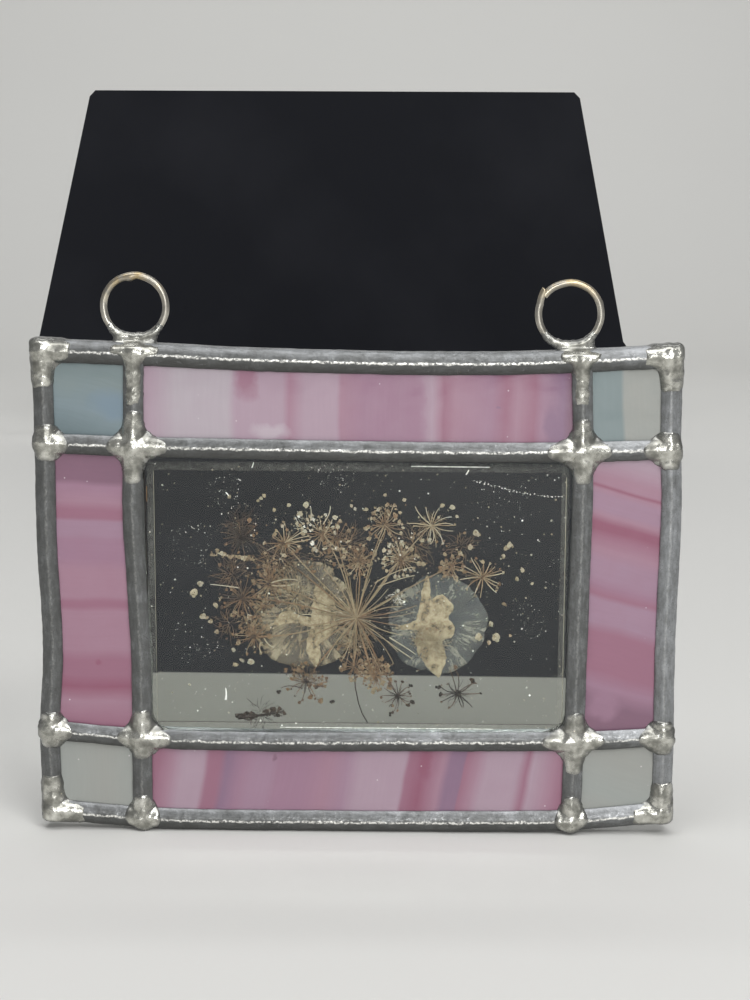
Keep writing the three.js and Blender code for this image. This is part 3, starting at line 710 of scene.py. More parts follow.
# Denser patches as (x, z, spread, buds, hairs, tint)
PATCHES = [
    (-30.2, 17.0, 6.4, 12, 150, 0.1), (-22.6, 5.3, 3.4, 30, 40, 0.44), (-27.4, -9.6, 3.6, 60, 50, 0.42),
    (4.6, -20.6, 4.6, 80, 60, 0.43), (0.6, 7.2, 3.4, 44, 40, 0.46), (-15.8, -21.8, 3.0, 22, 30, 0.3),
    (-10.8, -23.6, 3.4, 30, 30, 0.32), (-9.0, 8.4, 5.6, 26, 40, 0.42), (11.0, 9.8, 4.0, 26, 30, 0.66),
    (-13.4, 17.6, 3.6, 26, 20, 0.78), (7.4, 20.4, 3.4, 20, 16, 0.6), (10.9, -1.8, 3.2, 8, 60, 0.8),
    (-24.4, -4.0, 4.0, 24, 60, 0.46), (24.2, 5.4, 3.0, 22, 20, 0.46), (16.6, -12.4, 3.6, 8, 60, 0.6),
    (-20.0, 8.0, 8.0, 20, 110, 0.34), (-32.0, 4.0, 7.0, 20, 90, 0.24), (15.0, 12.0, 8.0, 20, 90, 0.36),
    (-2.0, 12.0, 8.0, 20, 90, 0.34), (27.0, 12.0, 6.0, 10, 50, 0.3), (-33.0, -9.0, 6.0, 14, 60, 0.24),
    (0.0, -14.0, 6.0, 10, 80, 0.5), (-16.0, -2.0, 7.0, 10, 110, 0.62), (20.0, -14.0, 6.0, 4, 70, 0.62),
]
# Long free stalks as (x, z, heading, length, bend, tint)
FREE_STALKS = [
    (-18.4, 12.6, 22, 6.2, -20, 0.7), (-18.6, 12.4, 38, 5.6, -12, 0.74), (-18.4, 12.0, 8, 6.6, 12, 0.66),
    (-8.6, 17.4, 62, 5.2, 24, 0.8), (-11.8, 18.2, 88, 3.6, 10, 0.8), (-8.4, 14.6, 55, 4.6, 20, 0.7),
    (19.2, 17.4, 138, 6.4, -24, 0.74), (19.3, 17.2, 172, 6.0, 10, 0.7), (19.4, 17.0, -72, 5.0, -70, 0.78),
    (19.6, 17.3, 5, 6.0, -10, 0.6), (-24, -13, -62, 3.6, 60, 0.8), (-25, -14, -100, 3.2, 50, 0.76),
    (8.6, -12.4, -34, 8.4, 2, 0.78), (8.0, -13.4, -36, 8.0, 2, 0.7), (4.2, 8.2, 66, 9.0, 4, 0.66),
    (-22.2, 1.8, 20, 7.0, -40, 0.8), (-22.0, 1.2, -10, 6.0, 40, 0.78), (-30.6, 0.4, 168, 7.4, 14, 0.82),
    (-14.0, -26.4, 160, 6.0, 60, 0.1), (4.8, 2.0, 35, 11.0, -34, 0.7), (5.6, 1.0, 25, 10.0, -20, 0.74),
]
# Pale florets that dried flat, as (x, z, half width)
PALE_FLORETS = [
    (-21.3, 21.0, 0.6), (-20.9, 18.4, 0.5), (-17.5, 22.4, 0.7), (-13.0, 22.4, 0.9), (-14.6, 20.0, 0.7),
    (-5.6, 19.2, 0.7), (-4.4, 18.4, 0.5), (-1.4, 22.2, 0.7), (-0.4, 21.4, 0.5), (2.4, 21.4, 0.6),
    (7.3, 25.2, 0.6), (12.2, 23.8, 0.7), (11.2, 20.6, 0.6), (17.0, 13.2, 0.7), (22.0, 22.6, 0.8),
    (24.6, 22.0, 0.9), (25.8, 19.6, 0.6), (7.1, 10.7, 0.6), (8.4, 11.6, 0.5), (22.8, 9.8, 0.6),
    (26.9, 10.0, 0.8), (-27.9, -7.4, 0.7), (15.4, 9.4, 0.6), (-24.6, 24.0, 0.8), (-23.8, 24.8, 0.7),
    (-25.4, 23.4, 0.6),
]
HUB_RAYS, HUB_HAIRS = 36, 70
# A row of pale florets at the left, and the long dark stalk that hangs below the hub
FLORET_ROW, ROW_STEP = (-37.4, 9.4), (0.85, -0.12)
HANGING_STALK = [(-0.4, -22.2), (-0.2, -26), (0.6, -30), (1.6, -33), (3, -35.4)]

head = Plant(seed=3)
pick = head.random
for x, z, reach, stalks, tint, bud_tint, buds, bend in SMALL_UMBELS:
    away = Vector((x - HUB[0], z - HUB[1]))
    heading = math.degrees(math.atan2(away.y, away.x))
    bow = pick.uniform(-8, 8)
    path = head.arc(HUB, heading - bow / 3, away.length * 0.99, bow, -0.22, -0.2, 9)
    head.strand(path, RAY_HALF, RAY_TIP_HALF, pick.uniform(0.52, 0.7), tint)
    head.umbel((x, z), reach, stalks, tint, bud_tint, buds, bend)
for i in range(HUB_RAYS):
    heading = 360 * (i + pick.uniform(-0.4, 0.4)) / HUB_RAYS
    path = head.arc(HUB, heading, pick.uniform(6, 16), pick.uniform(-16, 16), -0.24, -0.16, 8)
    head.strand(path, pick.uniform(0.1, 0.2), 0.1, pick.uniform(0.24, 0.56), pick.uniform(0.44, 0.84))
for _ in range(HUB_HAIRS):
    path = head.arc(HUB, pick.uniform(0, 360), pick.uniform(3, 9), pick.uniform(-50, 50), -0.24, -0.2, 6)
    head.strand(path, 0.07, 0.05, pick.uniform(0.4, 0.9))
head.cluster(HUB, 1.0, 16, 0.34, 1.3)
for x, z, spread, buds, hairs, tint in PATCHES:
    head.cluster((x, z), spread, buds, tint, 1.05, flat=0.8)
    head.fuzz((x, z), spread, hairs, tint + 0.05)
for x, z, heading, length, bend, tint in FREE_STALKS:
    path = head.arc((x, z), heading, length, bend, -0.26, -0.28, 9)
    head.strand(path, 0.17, 0.12, tint, tint + 0.06)
for x, z, half in PALE_FLORETS:
    head.cluster((x, z), 0.1, 1, 0.76, half / 0.5, 0.1, -0.26, (FLORET,))
for i in range(14):
    spot = (FLORET_ROW[0] + ROW_STEP[0] * i, FLORET_ROW[1] + ROW_STEP[1] * i)
    head.cluster(spot, 0.5, 2, 0.66, 1.3, depth=-0.22)
head.cluster((0, 4), 30, 240, 0.55, 0.5, 0.35, flat=0.7)
head.strand([(x, PRESSED_DEPTH, z) for x, z in HANGING_STALK], 0.18, 0.14, 0.1)
obj = head.make("dried_pressed_umbel", STRAW_AND_GLINTS)
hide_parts("pressed_umbel")
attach(obj, "root")

# Loose umbels and sprig
# Small umbels and a scrap that broke off and were pressed where they fell, darker than the rest.
LOOSE = {
    "loose_umbel_right": (32.7, 3.9, 6.0, 17, 0.56, 0.5, 0.8, 34),
    "loose_umbel_low_right": (26.5, -27.4, 6.4, 13, 0.08, 0.1, 0.6, 70),
}
for seed, (node, (x, z, reach, stalks, tint, bud_tint, buds, bend)) in enumerate(LOOSE.items()):
    loose = Plant(seed=20 + seed)
    loose.umbel((x, z), reach, stalks, tint, bud_tint, buds, bend, thick=0.2)
    obj = loose.make("dried_" + node, STRAW_AND_GLINTS)
    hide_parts(node)
    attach(obj, "root")
scrap = Plant(seed=31)
stem = [(-31, -34.6), (-27, -34), (-23, -33.4), (-19, -32.6)]
scrap.strand([(x, PRESSED_DEPTH, z) for x, z in stem], 0.4, 0.25, 0.06)
scrap.cluster((-28, -34.0), 3.4, 44, 0.1, 1.3, 0.1, flat=0.3)
scrap.cluster((-21.5, -32.9), 3.0, 40, 0.13, 1.3, 0.1, flat=0.4)
scrap.fuzz((-25, -33.4), 6, 40, 0.08)
obj = scrap.make("dried_loose_sprig", STRAW_AND_GLINTS)
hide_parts("loose_sprig")
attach(obj, "root")

# Loose florets, crumbs, dust and painted glints
# Fallen florets, bits of stalk and pale dust that lie between the panes all over, with painted glints and
# the bevel's painted shadow and highlight lines on the glass.
FAR_FLORETS = [
    (-40.6, 1.4, 0.9), (-42.3, -1.0, 1.2), (-40.0, -7.2, 0.7), (-37.9, -8.6, 0.9), (-39.0, -7.6, 0.5),
    (-36.4, -11.4, 1.0), (-36.6, -4.2, 0.9), (-32.2, -16.0, 0.7), (-31.5, -20.2, 0.8),
    (-29.8, -18.9, 0.7), (-27.5, -19.4, 0.8), (30.8, 15.4, 0.9), (31.6, 15.0, 0.6), (29.4, 11.6, 0.7),
    (39.5, 12.2, 1.3), (38.6, 11.4, 0.7), (38.0, 9.4, 0.6), (42.9, 5.6, 0.8), (41.6, 3.3, 0.5),
    (35.1, -8.6, 0.8), (31.9, -12.2, 1.1), (36.4, -12.2, 1.0), (34.6, -13.5, 0.7), (45.5, 2.1, 0.35),
    (40.0, -11.8, 0.4), (-32.8, 24.4, 0.4), (-36.0, 10.2, 0.5),
]
BLACK_BITS = [
    (14.7, -29.6), (21.5, -25.6), (14.3, -25.2), (9.2, -33.0), (-20.4, -27.4), (30.5, -24.2), (-6.4, -30.2),
]
loose = Plant(seed=41)
for x, z, half in FAR_FLORETS:
    loose.cluster((x, z), 0.1, 1, 0.78, half / 0.46, 0.08, -0.2, (FLORET,))
    loose.cluster((x, z), half * 0.7, 4, 0.7, 1.1, 0.16, -0.24, (BUD, SEED_PAIR))
loose.cluster((38.3, -3.6), 0.5, 5, 0.5, 1.6)
for x, z in BLACK_BITS:
    loose.cluster((x, z), 0.5, 4, 0.05, 1.1, 0.05)
loose.cluster((-9.4, -29.6), 0.7, 8, 0.42, 1.3)
loose.cluster((2, -3), 46, 260, 0.7, 0.34, 0.28, flat=0.62)
obj = loose.make("loose_florets", STRAW_AND_GLINTS)
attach(obj, "root")

# Lines along the bevel as (x, z, x, z, half width, tint): the dark ones are painted shadow in the gap beside
# the lead and at the bevel's inner edge, the pale ones are painted highlights on the bevel, and the brown
# one is dirt
BEVEL_LINES = [
    (-54.8, 33, -54.5, 20, 0.24, 0.0), (-54.5, 20, -54.2, -12, 0.18, 0.02),
    (-54.1, 27, -54.1, 23, 0.16, 0.46), (53.7, 30, 53.9, -35, 0.07, 0.86),
    (14, 32.6, 34, 32.5, 0.1, 0.98), (-52.2, -35.5, 53, -35.5, 0.09, 0.08),
    (-20, -36.9, 36, -36.9, 0.14, 0.97), (-52.2, 31, -52.1, -35, 0.05, 0.86),
]
DUST_DEPTH, DUST_SPECKS, DUST_SIZES = -0.3, 700, (0.28, 0.28, 0.4, 0.55)
DUST_PATCHES = [(-5, 31, 5), (-43, 12, 6), (-42, -14, 6), (38, 24, 7), (-34, 26, 5), (44, -8, 5)]
# Painted glints on the glass, as bright short marks: (x, z, heading, length)
GLINT_MARKS = [(-34.2, -29.6, 80, 3.2), (-27, 32, 60, 1.4), (28, 30.6, 50, 1.4), (-33, 24.6, 120, 1.2)]
specks_and_painted_light = Plant(seed=47)
for _ in range(DUST_SPECKS):
    spot = (specks_and_painted_light.random.uniform(-54, 54), specks_and_painted_light.random.uniform(-36.5, 33))
    size = specks_and_painted_light.random.choice(DUST_SIZES)
    specks_and_painted_light.cluster(spot, 0.6, 1, 0.86, size, 0.14, DUST_DEPTH, (FLORET, SEED_PAIR))
for x, z, spread in DUST_PATCHES:
    specks_and_painted_light.cluster((x, z), spread, 60, 0.96, 0.24, 0.05, DUST_DEPTH)
# A string of bright dust that sags from the upper right of the pane
for i in range(26):
    spot = (30 + 0.92 * i, 29.2 - 4.2 * math.sin(i / 25 * math.pi / 2))
    specks_and_painted_light.cluster(spot, 0.3, 2, 0.99, 0.4, 0.02, DUST_DEPTH)
# Painted glints: short white strokes that stand for light caught on the glass
for x, z, heading, length in GLINT_MARKS:
    specks_and_painted_light.strand(specks_and_painted_light.arc((x, z), heading, length, 30, DUST_DEPTH, DUST_DEPTH), 0.1 * length, 0.14, 1.05)
# The bevel's painted shadow lines and painted highlight lines, and its line of dirt
for x, z, end_x, end_z, half, tint in BEVEL_LINES:
    line = [(x + (end_x - x) * i / 30, DUST_DEPTH, z + (end_z - z) * i / 30) for i in range(31)]
    specks_and_painted_light.strand(line, half, half, tint)
obj = specks_and_painted_light.make("dust_between_panes", STRAW_AND_GLINTS)
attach(obj, "root")

# Clear panes
# Two clear panes of thin glass hold the flowers between them. The front one has a ground and polished bevel
# all round, and both have a faint green cast.


def clear_glass():
    """Thin clear glass that lets lamplight through to what lies behind it."""
    look = Look("clear_glass", Roughness=0.0, IOR=1.2, Transmission_Weight=1.0, Specular_IOR_Level=0.08,
                Base_Color=GLASS_CAST)
    clear = look.add("ShaderNodeBsdfTransparent", {"Color": GLASS_CAST}).outputs["BSDF"]
    shadow = look.add("ShaderNodeLightPath").outputs["Is Shadow Ray"]
    both = look.add("ShaderNodeMixShader", {0: shadow, 1: look.shader.outputs["BSDF"], 2: clear})
    output = next(node for node in look.tree.nodes if node.type == "OUTPUT_MATERIAL")
    look.tree.links.new(both.outputs["Shader"], output.inputs["Surface"])
    return look.material


GLASS_CAST = (0.95, 0.965, 0.955, 1)
CLEAR = clear_glass()
for node in ("centre_glass_back", "centre_glass_front"):
    for slot in bpy.data.objects[node].material_slots:
        slot.material = CLEAR

BEVEL_DEPTH, BEVEL_HAZE_THICKNESS = -0.34, 0.02
haze = Look("ground_bevel", Roughness=0.6)
grind = haze.grain(haze.place(), 900.0, 5.0)
haze.feed(Base_Color=haze.mixed(grind, paint(100, 98, 92), paint(168, 166, 156)))
haze.feed(Alpha=haze.spread(grind, 0.3, 0.7, 0.03, 0.16))
# Each side of the bevel as (left, right, low, high)
BEVELS = [
    (-54.0, -52.2, -36.5, 33.4), (52.6, 54.4, -36.5, 33.4), (-52.1, 52.5, 31.2, 33.4),
    (-52.1, 52.5, -36.5, -35.6),
]
strips = []
for left, right, low, high in BEVELS:
    points = [(x, BEVEL_DEPTH, z) for z in (low, high) for x in (left, right)]
    strips.append(shell(points, 2, 2, BEVEL_HAZE_THICKNESS, "bevel", haze.material))
obj = joined("ground_bevel", strips)
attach(obj, "root")

# Coloured glass
# Sheet glass with drawn-out streaks: blue-grey and pale grey squares in the corners, pink and mauve strips
# between them. It is cut to shape, glossy, and slightly wavy, and it sits in the lead's channels.
CAME_HALF, BORDER_HALF = 2.6, 2.9
HEART_HALF, WEB = 0.6, 1.4
GLASS_HALF, GLASS_CLEARANCE, GLASS_MESH = 1.65, 0.35, 1.2


class Line:
    """A smooth centre line through (x, z) points; along is 0 for a level one and 1 for an upright one."""

    def __init__(self, along, points):
        self.along = along
        self.points = points
        self.slopes = []
        for i in range(len(points)):
            before = points[max(i - 1, 0)]
            after = points[min(i + 1, len(points) - 1)]
            self.slopes.append((after[1 - along] - before[1 - along]) / (after[along] - before[along]))

    def at(self, s):
        """How far the line lies to the side at s along it."""
        i = 0
        while i < len(self.points) - 2 and s > self.points[i + 1][self.along]:
            i += 1
        here, there = self.points[i], self.points[i + 1]
        span = there[self.along] - here[self.along]
        t = (s - here[self.along]) / span
        rise = there[1 - self.along] - here[1 - self.along]
        start, end = self.slopes[i] * span - rise, self.slopes[i + 1] * span - rise
        return here[1 - self.along] + rise * t + t * (1 - t) * ((1 - t) * start - t * end)

    def point(self, s):
        return (s, self.at(s)) if self.along == 0 else (self.at(s), s)


TOP_BORDER = Line(0, [
    (-80, 61.8), (-56.7, 61.1), (-28, 59.9), (6, 59.2), (34, 59.2), (56.8, 60), (79.6, 61.3),
])
UPPER_CAME = Line(0, [(-79.6, 38.2), (-57.3, 37.5), (-4, 36.8), (30, 36.6), (57.7, 36.9), (79.9, 37.6)])
LOWER_CAME = Line(0, [
    (-80.4, -37.7), (-56.2, -39.7), (-28, -40.4), (13, -40.1), (57.2, -39.5), (80.1, -38.2),
])
BOTTOM_BORDER = Line(0, [
    (-79.8, -59.7), (-56.2, -61.5), (-40, -62), (-14, -62), (12, -62), (56.7, -61.2), (80.4, -58.8),
])
LEFT_BORDER = Line(1, [
    (-79.8, -59.7), (-80.2, -37.6), (-78.9, -16.5), (-79.8, 14.3), (-79.7, 38.2), (-80, 61.8),
])
LEFT_CAME = Line(1, [
    (-56.2, -61.5), (-56.1, -39.7), (-56.1, -16.3), (-57.6, 20), (-57.2, 37.5), (-56.7, 61.1),
])
RIGHT_CAME = Line(1, [(56.7, -61.2), (57.2, -39.5), (57.4, -15.3), (57.9, 24), (57.7, 36.9), (56.9, 60)])
RIGHT_BORDER = Line(1, [(80.4, -58.8), (80.3, -38.2), (80, -15.1), (80.5, 24), (79.8, 37.6), (79.5, 61.3)])


def crossing(level, upright, lift=0.0, shift=0.0):
    """Where a level and an upright line cross, each moved sideways."""
    z = level.at(upright.at(0))
    for _ in range(5):
        x = upright.at(z) + shift
        z = level.at(x) + lift
    return x, z


def glass_sheet(name, left, right, low, high, material):
    """A pane between four (line, outward move) edges, with both faces a little wavy."""
    lines = [line for line, _ in (left, right, low, high)]
    middle = Vector(((lines[0].at(0) + lines[1].at(0)) / 2, 0, (lines[2].at(0) + lines[3].at(0)) / 2))
    columns = max(8, round((lines[1].at(middle.z) - lines[0].at(middle.z)) / GLASS_MESH))
    rows = max(8, round((lines[3].at(middle.x) - lines[2].at(middle.x)) / GLASS_MESH))
    points = []
    for side in (-1, 1):
        for i in range(rows + 1):
            for j in range(columns + 1):
                x, z = middle.x, middle.z
                for _ in range(3):
                    x_low, x_high = lines[0].at(z) - left[1], lines[1].at(z) + right[1]
                    x = x_low + (x_high - x_low) * j / columns
                    z_low, z_high = lines[2].at(x) - low[1], lines[3].at(x) + high[1]
                    z = z_low + (z_high - z_low) * i / rows
                wave = ripple(x * 0.09, side * 5, z * 0.09) * 0.09
                wave += ripple(x * 0.3, side * 5, z * 0.3) * 0.02
                points.append(at(x, side * GLASS_HALF + wave, z))
    faces = sheet_faces(rows + 1, columns + 1)
    obj = outward(mesh_object("sheet_" + name, points, faces, [material], smooth=False))
    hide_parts(name)
    "blue_grey_glass" if "square" in name else "pink_glass"
    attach(obj, "root")


def streaky_glass(name, way, stops, patches=(), wander=2.6, streak=0.02, tilt=0.0):
    """Glass with colour bands across a way given as (x, z), through (mm, colour) stops along it.

    Each patch is a soft spot of colour as (x, z, half width, half height, colour); tilt is how far the
    way's slant moves a band at the middle of the sheet.
    """
    look = Look(name, Roughness=0.1)
    place = look.place()
    along = look.vector("DOT_PRODUCT", place, (way[0] / MM, 0, way[1] / MM))
    across = look.vector("DOT_PRODUCT", place, (-way[1] / MM, 0, way[0] / MM))
    bend = look.maths("MULTIPLY_ADD", look.grain(place, 45.0, 2.0), wander, along)
    offset = way[1] * HANGING_HEIGHT - wander / 2 - tilt
    start, end = stops[0][0], stops[-1][0]
    band = look.spread(bend, start - offset, end - offset)
    base = look.ramp(band, *(((mm - start) / (end - start), colour) for mm, colour in stops))
    drawn = look.add("ShaderNodeCombineXYZ", {"X": bend, "Y": look.maths("MULTIPLY", across, DRAWN_OUT)})
    fine = look.grain(drawn.outputs["Vector"], 1.3, 5.0, 0.6)
    gain = look.spread(fine, 0.3, 0.7, 1 - streak, 1 + streak)
    whole = look.add("ShaderNodeVectorMath", {0: base, 3: gain}, operation="SCALE").outputs["Vector"]
    inputs = {"Vector": place, "Scale": 150.0, "Detail": 4.0, "Roughness": 0.55}
    cloud = look.add("ShaderNodeTexNoise", inputs).outputs
    blush = look.spread(cloud["Fac"], 0.35, 0.7, 0.0, 0.16)
    whole = look.mixed(blush, whole, stops[len(stops) // 3][1])
    for x, z, half_width, half_height, colour in patches:
        torn = look.vector("MULTIPLY_ADD", cloud["Color"], (PATCH_TEAR,) * 3, place)
        away = look.vector("SUBTRACT", torn, at(x, 0, z) + Vector((PATCH_TEAR / 2,) * 3))
        scaled = look.vector("MULTIPLY", away, (1 / half_width / MM, 0, 1 / half_height / MM))
        there = look.spread(look.vector("LENGTH", scaled), 1.15, 0.5, 0.0, 0.75)
        whole = look.mixed(there, whole, colour)
    # Seed bubbles in the glass, painted white as small glints: real bubbles, with a painted highlight
    seeds = look.add("ShaderNodeTexVoronoi", {"Vector": place, "Scale": 520.0}).outputs
    near = look.spread(seeds["Distance"], 0.12, 0.05)
    few = look.spread(look.part("X", seeds["Color"]), 0.955, 0.96, 0.0, 0.8)
    look.feed(Base_Color=look.mixed(look.maths("MULTIPLY", near, few), whole, SEED_GLINT_WHITE))
    return look.material


DRAWN_OUT, PATCH_TEAR, SEED_GLINT_WHITE = 0.06, 0.006, paint(225, 215, 220)
WHITE_PINK, PALE_PINK, PINK = paint(170, 160, 167), paint(163, 141, 154), paint(154, 119, 135)
ROSE, DEEP_ROSE, MAUVE = paint(144, 101, 119), paint(136, 84, 103), paint(148, 115, 134)
PURPLE, DARK_MAUVE, SCUFF = paint(130, 104, 126), paint(122, 92, 109), paint(180, 168, 176)
LILAC = paint(151, 122, 140)
TOP_STREAKS = [
    (-54, PALE_PINK), (-46, WHITE_PINK), (-33, WHITE_PINK), (-31, PALE_PINK), (-27, PALE_PINK),
    (-19, PALE_PINK), (-17, PINK), (-13, PALE_PINK), (-5, PALE_PINK), (-4, PINK), (2, MAUVE), (9, MAUVE),
    (15, MAUVE), (19, PALE_PINK), (21, PINK), (22, ROSE), (25, PINK), (34, MAUVE), (38, ROSE), (41, PINK),
    (45, ROSE), (47, MAUVE), (52, PURPLE), (54, DARK_MAUVE),
]
TOP_PATCHES = [
    (-28.4, 55.4, 3.6, 6.4, ROSE), (-22.4, 41.4, 5.2, 2.0, SCUFF), (35.5, 48, 0.7, 0.5, PURPLE),
    (14.5, 48, 2.6, 12, MAUVE), (50, 44, 2, 6, PURPLE),
]
BOTTOM_STREAKS = [
    (-53, ROSE), (-49.5, PINK), (-46, PALE_PINK), (-41, PALE_PINK), (-39.5, ROSE), (-36.5, ROSE),
    (-34.5, PURPLE), (-30, MAUVE), (-27, LILAC), (-23, LILAC), (-21, MAUVE), (-14, MAUVE), (-8, PINK),
    (-3, LILAC), (1, PALE_PINK), (7, PALE_PINK), (12, PALE_PINK), (13, ROSE), (17, DEEP_ROSE), (19, ROSE),
    (22, PINK), (24, PURPLE), (27.6, PURPLE), (28, ROSE), (31, PINK), (34, PALE_PINK), (42, PALE_PINK),
    (44.4, ROSE), (46, PALE_PINK), (51, PINK), (54, ROSE),
]
BOTTOM_PATCHES = [(-21, -45, 0.7, 1.1, DARK_MAUVE), (19, -46, 1.6, 5, DEEP_ROSE)]
LEFT_STREAKS = [
    (-36, ROSE), (-30, PINK), (-26, DEEP_ROSE), (-23, ROSE), (-19, ROSE), (-16, PINK), (-6, PINK),
    (-4.6, ROSE), (-3.4, ROSE), (-2, PINK), (5, PINK), (8, MAUVE), (13, MAUVE), (14.5, LILAC),
    (18, LILAC), (19, ROSE), (21, ROSE), (23, PINK), (27, MAUVE), (28.5, DARK_MAUVE), (35, DARK_MAUVE),
]
LEFT_PATCHES = [(-67, -19.6, 1.0, 0.8, DEEP_ROSE)]
RIGHT_STREAKS = [
    (-36, DARK_MAUVE), (-31, DARK_MAUVE), (-26, MAUVE), (-22, ROSE), (-18, ROSE), (-12, ROSE),
    (-9, LILAC), (-3, LILAC), (-1.6, ROSE), (1, MAUVE), (3, LILAC), (7, LILAC), (10, PINK), (13.6, ROSE),
    (15.4, DEEP_ROSE), (17, DEEP_ROSE), (19, PINK), (20.5, LILAC), (24, LILAC), (25.6, PINK),
    (26.3, DEEP_ROSE), (27, PINK), (29, PINK), (34, PALE_PINK),
]
RIGHT_PATCHES = [(74, -21, 6, 3, ROSE), (64, -30, 5, 4, MAUVE)]
STRIP_FROM_MIDDLE_X, STRIP_FROM_MIDDLE_Z = 69, 51
BLUE_GREY, TEAL_GREY, WARM_GREY = paint(120, 134, 139), paint(122, 134, 135), paint(150, 151, 146)
GREEN_GREY, DEEP_TEAL, SKY_GREY = paint(149, 153, 149), paint(98, 112, 116), paint(114, 132, 146)
STRIPS = {
    "top": ((1, 0), TOP_STREAKS, TOP_PATCHES, 0.0),
    "bottom": ((1, -0.2), BOTTOM_STREAKS, BOTTOM_PATCHES, 0.2 * STRIP_FROM_MIDDLE_Z),
    "left": ((0.05, 1), LEFT_STREAKS, LEFT_PATCHES, -0.05 * STRIP_FROM_MIDDLE_X),
    "right": ((0.25, 1), RIGHT_STREAKS, RIGHT_PATCHES, 0.25 * STRIP_FROM_MIDDLE_X),
}
SQUARES = {
    "top_left": ((0.25, 1), [(22, DEEP_TEAL), (29, BLUE_GREY), (38, TEAL_GREY), (44, TEAL_GREY)],
                 [(-62.5, 48, 6, 4.5, SKY_GREY), (-74, 54, 5, 4, TEAL_GREY)], 5.0, 0.04),
    "top_right": ((1, 0.05), [(58, TEAL_GREY), (69.6, TEAL_GREY), (70.6, WARM_GREY), (82, WARM_GREY)]),
    "bottom_left": ((1, 0), [(-80, GREEN_GREY), (-66, WARM_GREY), (-56, GREEN_GREY)]),
    "bottom_right": ((0.3, 1), [(-40, WARM_GREY), (-34, GREEN_GREY), (-24, WARM_GREY)]),
}
GLASS_MATERIALS = {}
for side, (way, streaks, patches, tilt) in STRIPS.items():
    material = streaky_glass("pink_glass_" + side, way, streaks, patches, tilt=tilt)
    GLASS_MATERIALS["glass_strip_" + side] = material
for corner, values in SQUARES.items():
    GLASS_MATERIALS["glass_square_" + corner] = streaky_glass("grey_glass_" + corner, *values)
at_border = BORDER_HALF - WEB - GLASS_CLEARANCE
at_heart = -HEART_HALF - GLASS_CLEARANCE
glass_columns = {
    "left": ((LEFT_BORDER, at_border), (LEFT_CAME, at_heart)),
    "middle": ((LEFT_CAME, at_heart), (RIGHT_CAME, at_heart)),
    "right": ((RIGHT_CAME, at_heart), (RIGHT_BORDER, at_border)),
}
glass_rows = {
    "bottom": ((BOTTOM_BORDER, at_border), (LOWER_CAME, at_heart)),
    "middle": ((LOWER_CAME, at_heart), (UPPER_CAME, at_heart)),
    "top": ((UPPER_CAME, at_heart), (TOP_BORDER, at_border)),
}
for node, material in GLASS_MATERIALS.items():
    words = node.split("_")
    row = words[2] if words[2] in ("top", "bottom") else "middle"
    column = words[-1] if words[-1] in ("left", "right") else "middle"
    glass_sheet(node, *glass_columns[column], *glass_rows[row], material)

# Lead cames
# Soft lead strips that hold the panes: H strips with rounded faces between panes, and a U strip round the
# edge. They are stretched and bent by hand, so they wander a little, and the soft face is dented.
CENTRE_CHANNEL, BORDER_CHANNEL = 2.2, 1.85
FACE_EDGE, BORDER_EDGE, FACE_CROWN = CENTRE_CHANNEL + 0.1, BORDER_CHANNEL + 0.1, 3.45
OUTER_EDGE, OUTER_FLAT = 1.6, (0.6, 1.2)
LIP_ROUND, FACE_STEPS = 0.3, 18
BUTT_GAP, SWEEP_STEP = 0.3, 0.4
PRESSED_LIP = 0.84
LEFT_END, TOP_RIGHT_END, BOTTOM_RIGHT_END = -82.6, 82.2, 83.0


def face_height(u, edge):
    """The height of a came's face at u, from -1 to 1 across it: a soft ridge with rounded lips."""
    return edge + (FACE_CROWN - edge) * (1 - abs(u) ** 1.5) ** 0.7


def rounded_face(half, edge_of):
    """(across, depth) points of a face from its right lip to its left one."""
    turns = [math.cos(i / FACE_STEPS * math.pi) for i in range(FACE_STEPS + 1)]
    return [(half * u, face_height(u, edge_of(u))) for u in turns]


def mirrored(top):
    """A whole section from its front half."""
    return top + [(a, -y) for a, y in reversed(top)]


def inner_section():
    """The H: a heart between two rounded faces."""
    return mirrored([
        (HEART_HALF, CENTRE_CHANNEL), (CAME_HALF - LIP_ROUND, CENTRE_CHANNEL),
        *rounded_face(CAME_HALF, lambda u: FACE_EDGE),
        (LIP_ROUND - CAME_HALF, CENTRE_CHANNEL), (-HEART_HALF, CENTRE_CHANNEL),
    ])


def border_section():
    """The U opens to the left of the way it runs; its outer side is flat with rounded edges."""
    return mirrored([
        *((BORDER_HALF, y) for y in OUTER_FLAT),
        *rounded_face(BORDER_HALF, lambda u: OUTER_EDGE if u > 0 else BORDER_EDGE),
        (LIP_ROUND - BORDER_HALF, BORDER_CHANNEL), (0, BORDER_CHANNEL), (BORDER_HALF - WEB, BORDER_CHANNEL),
    ])


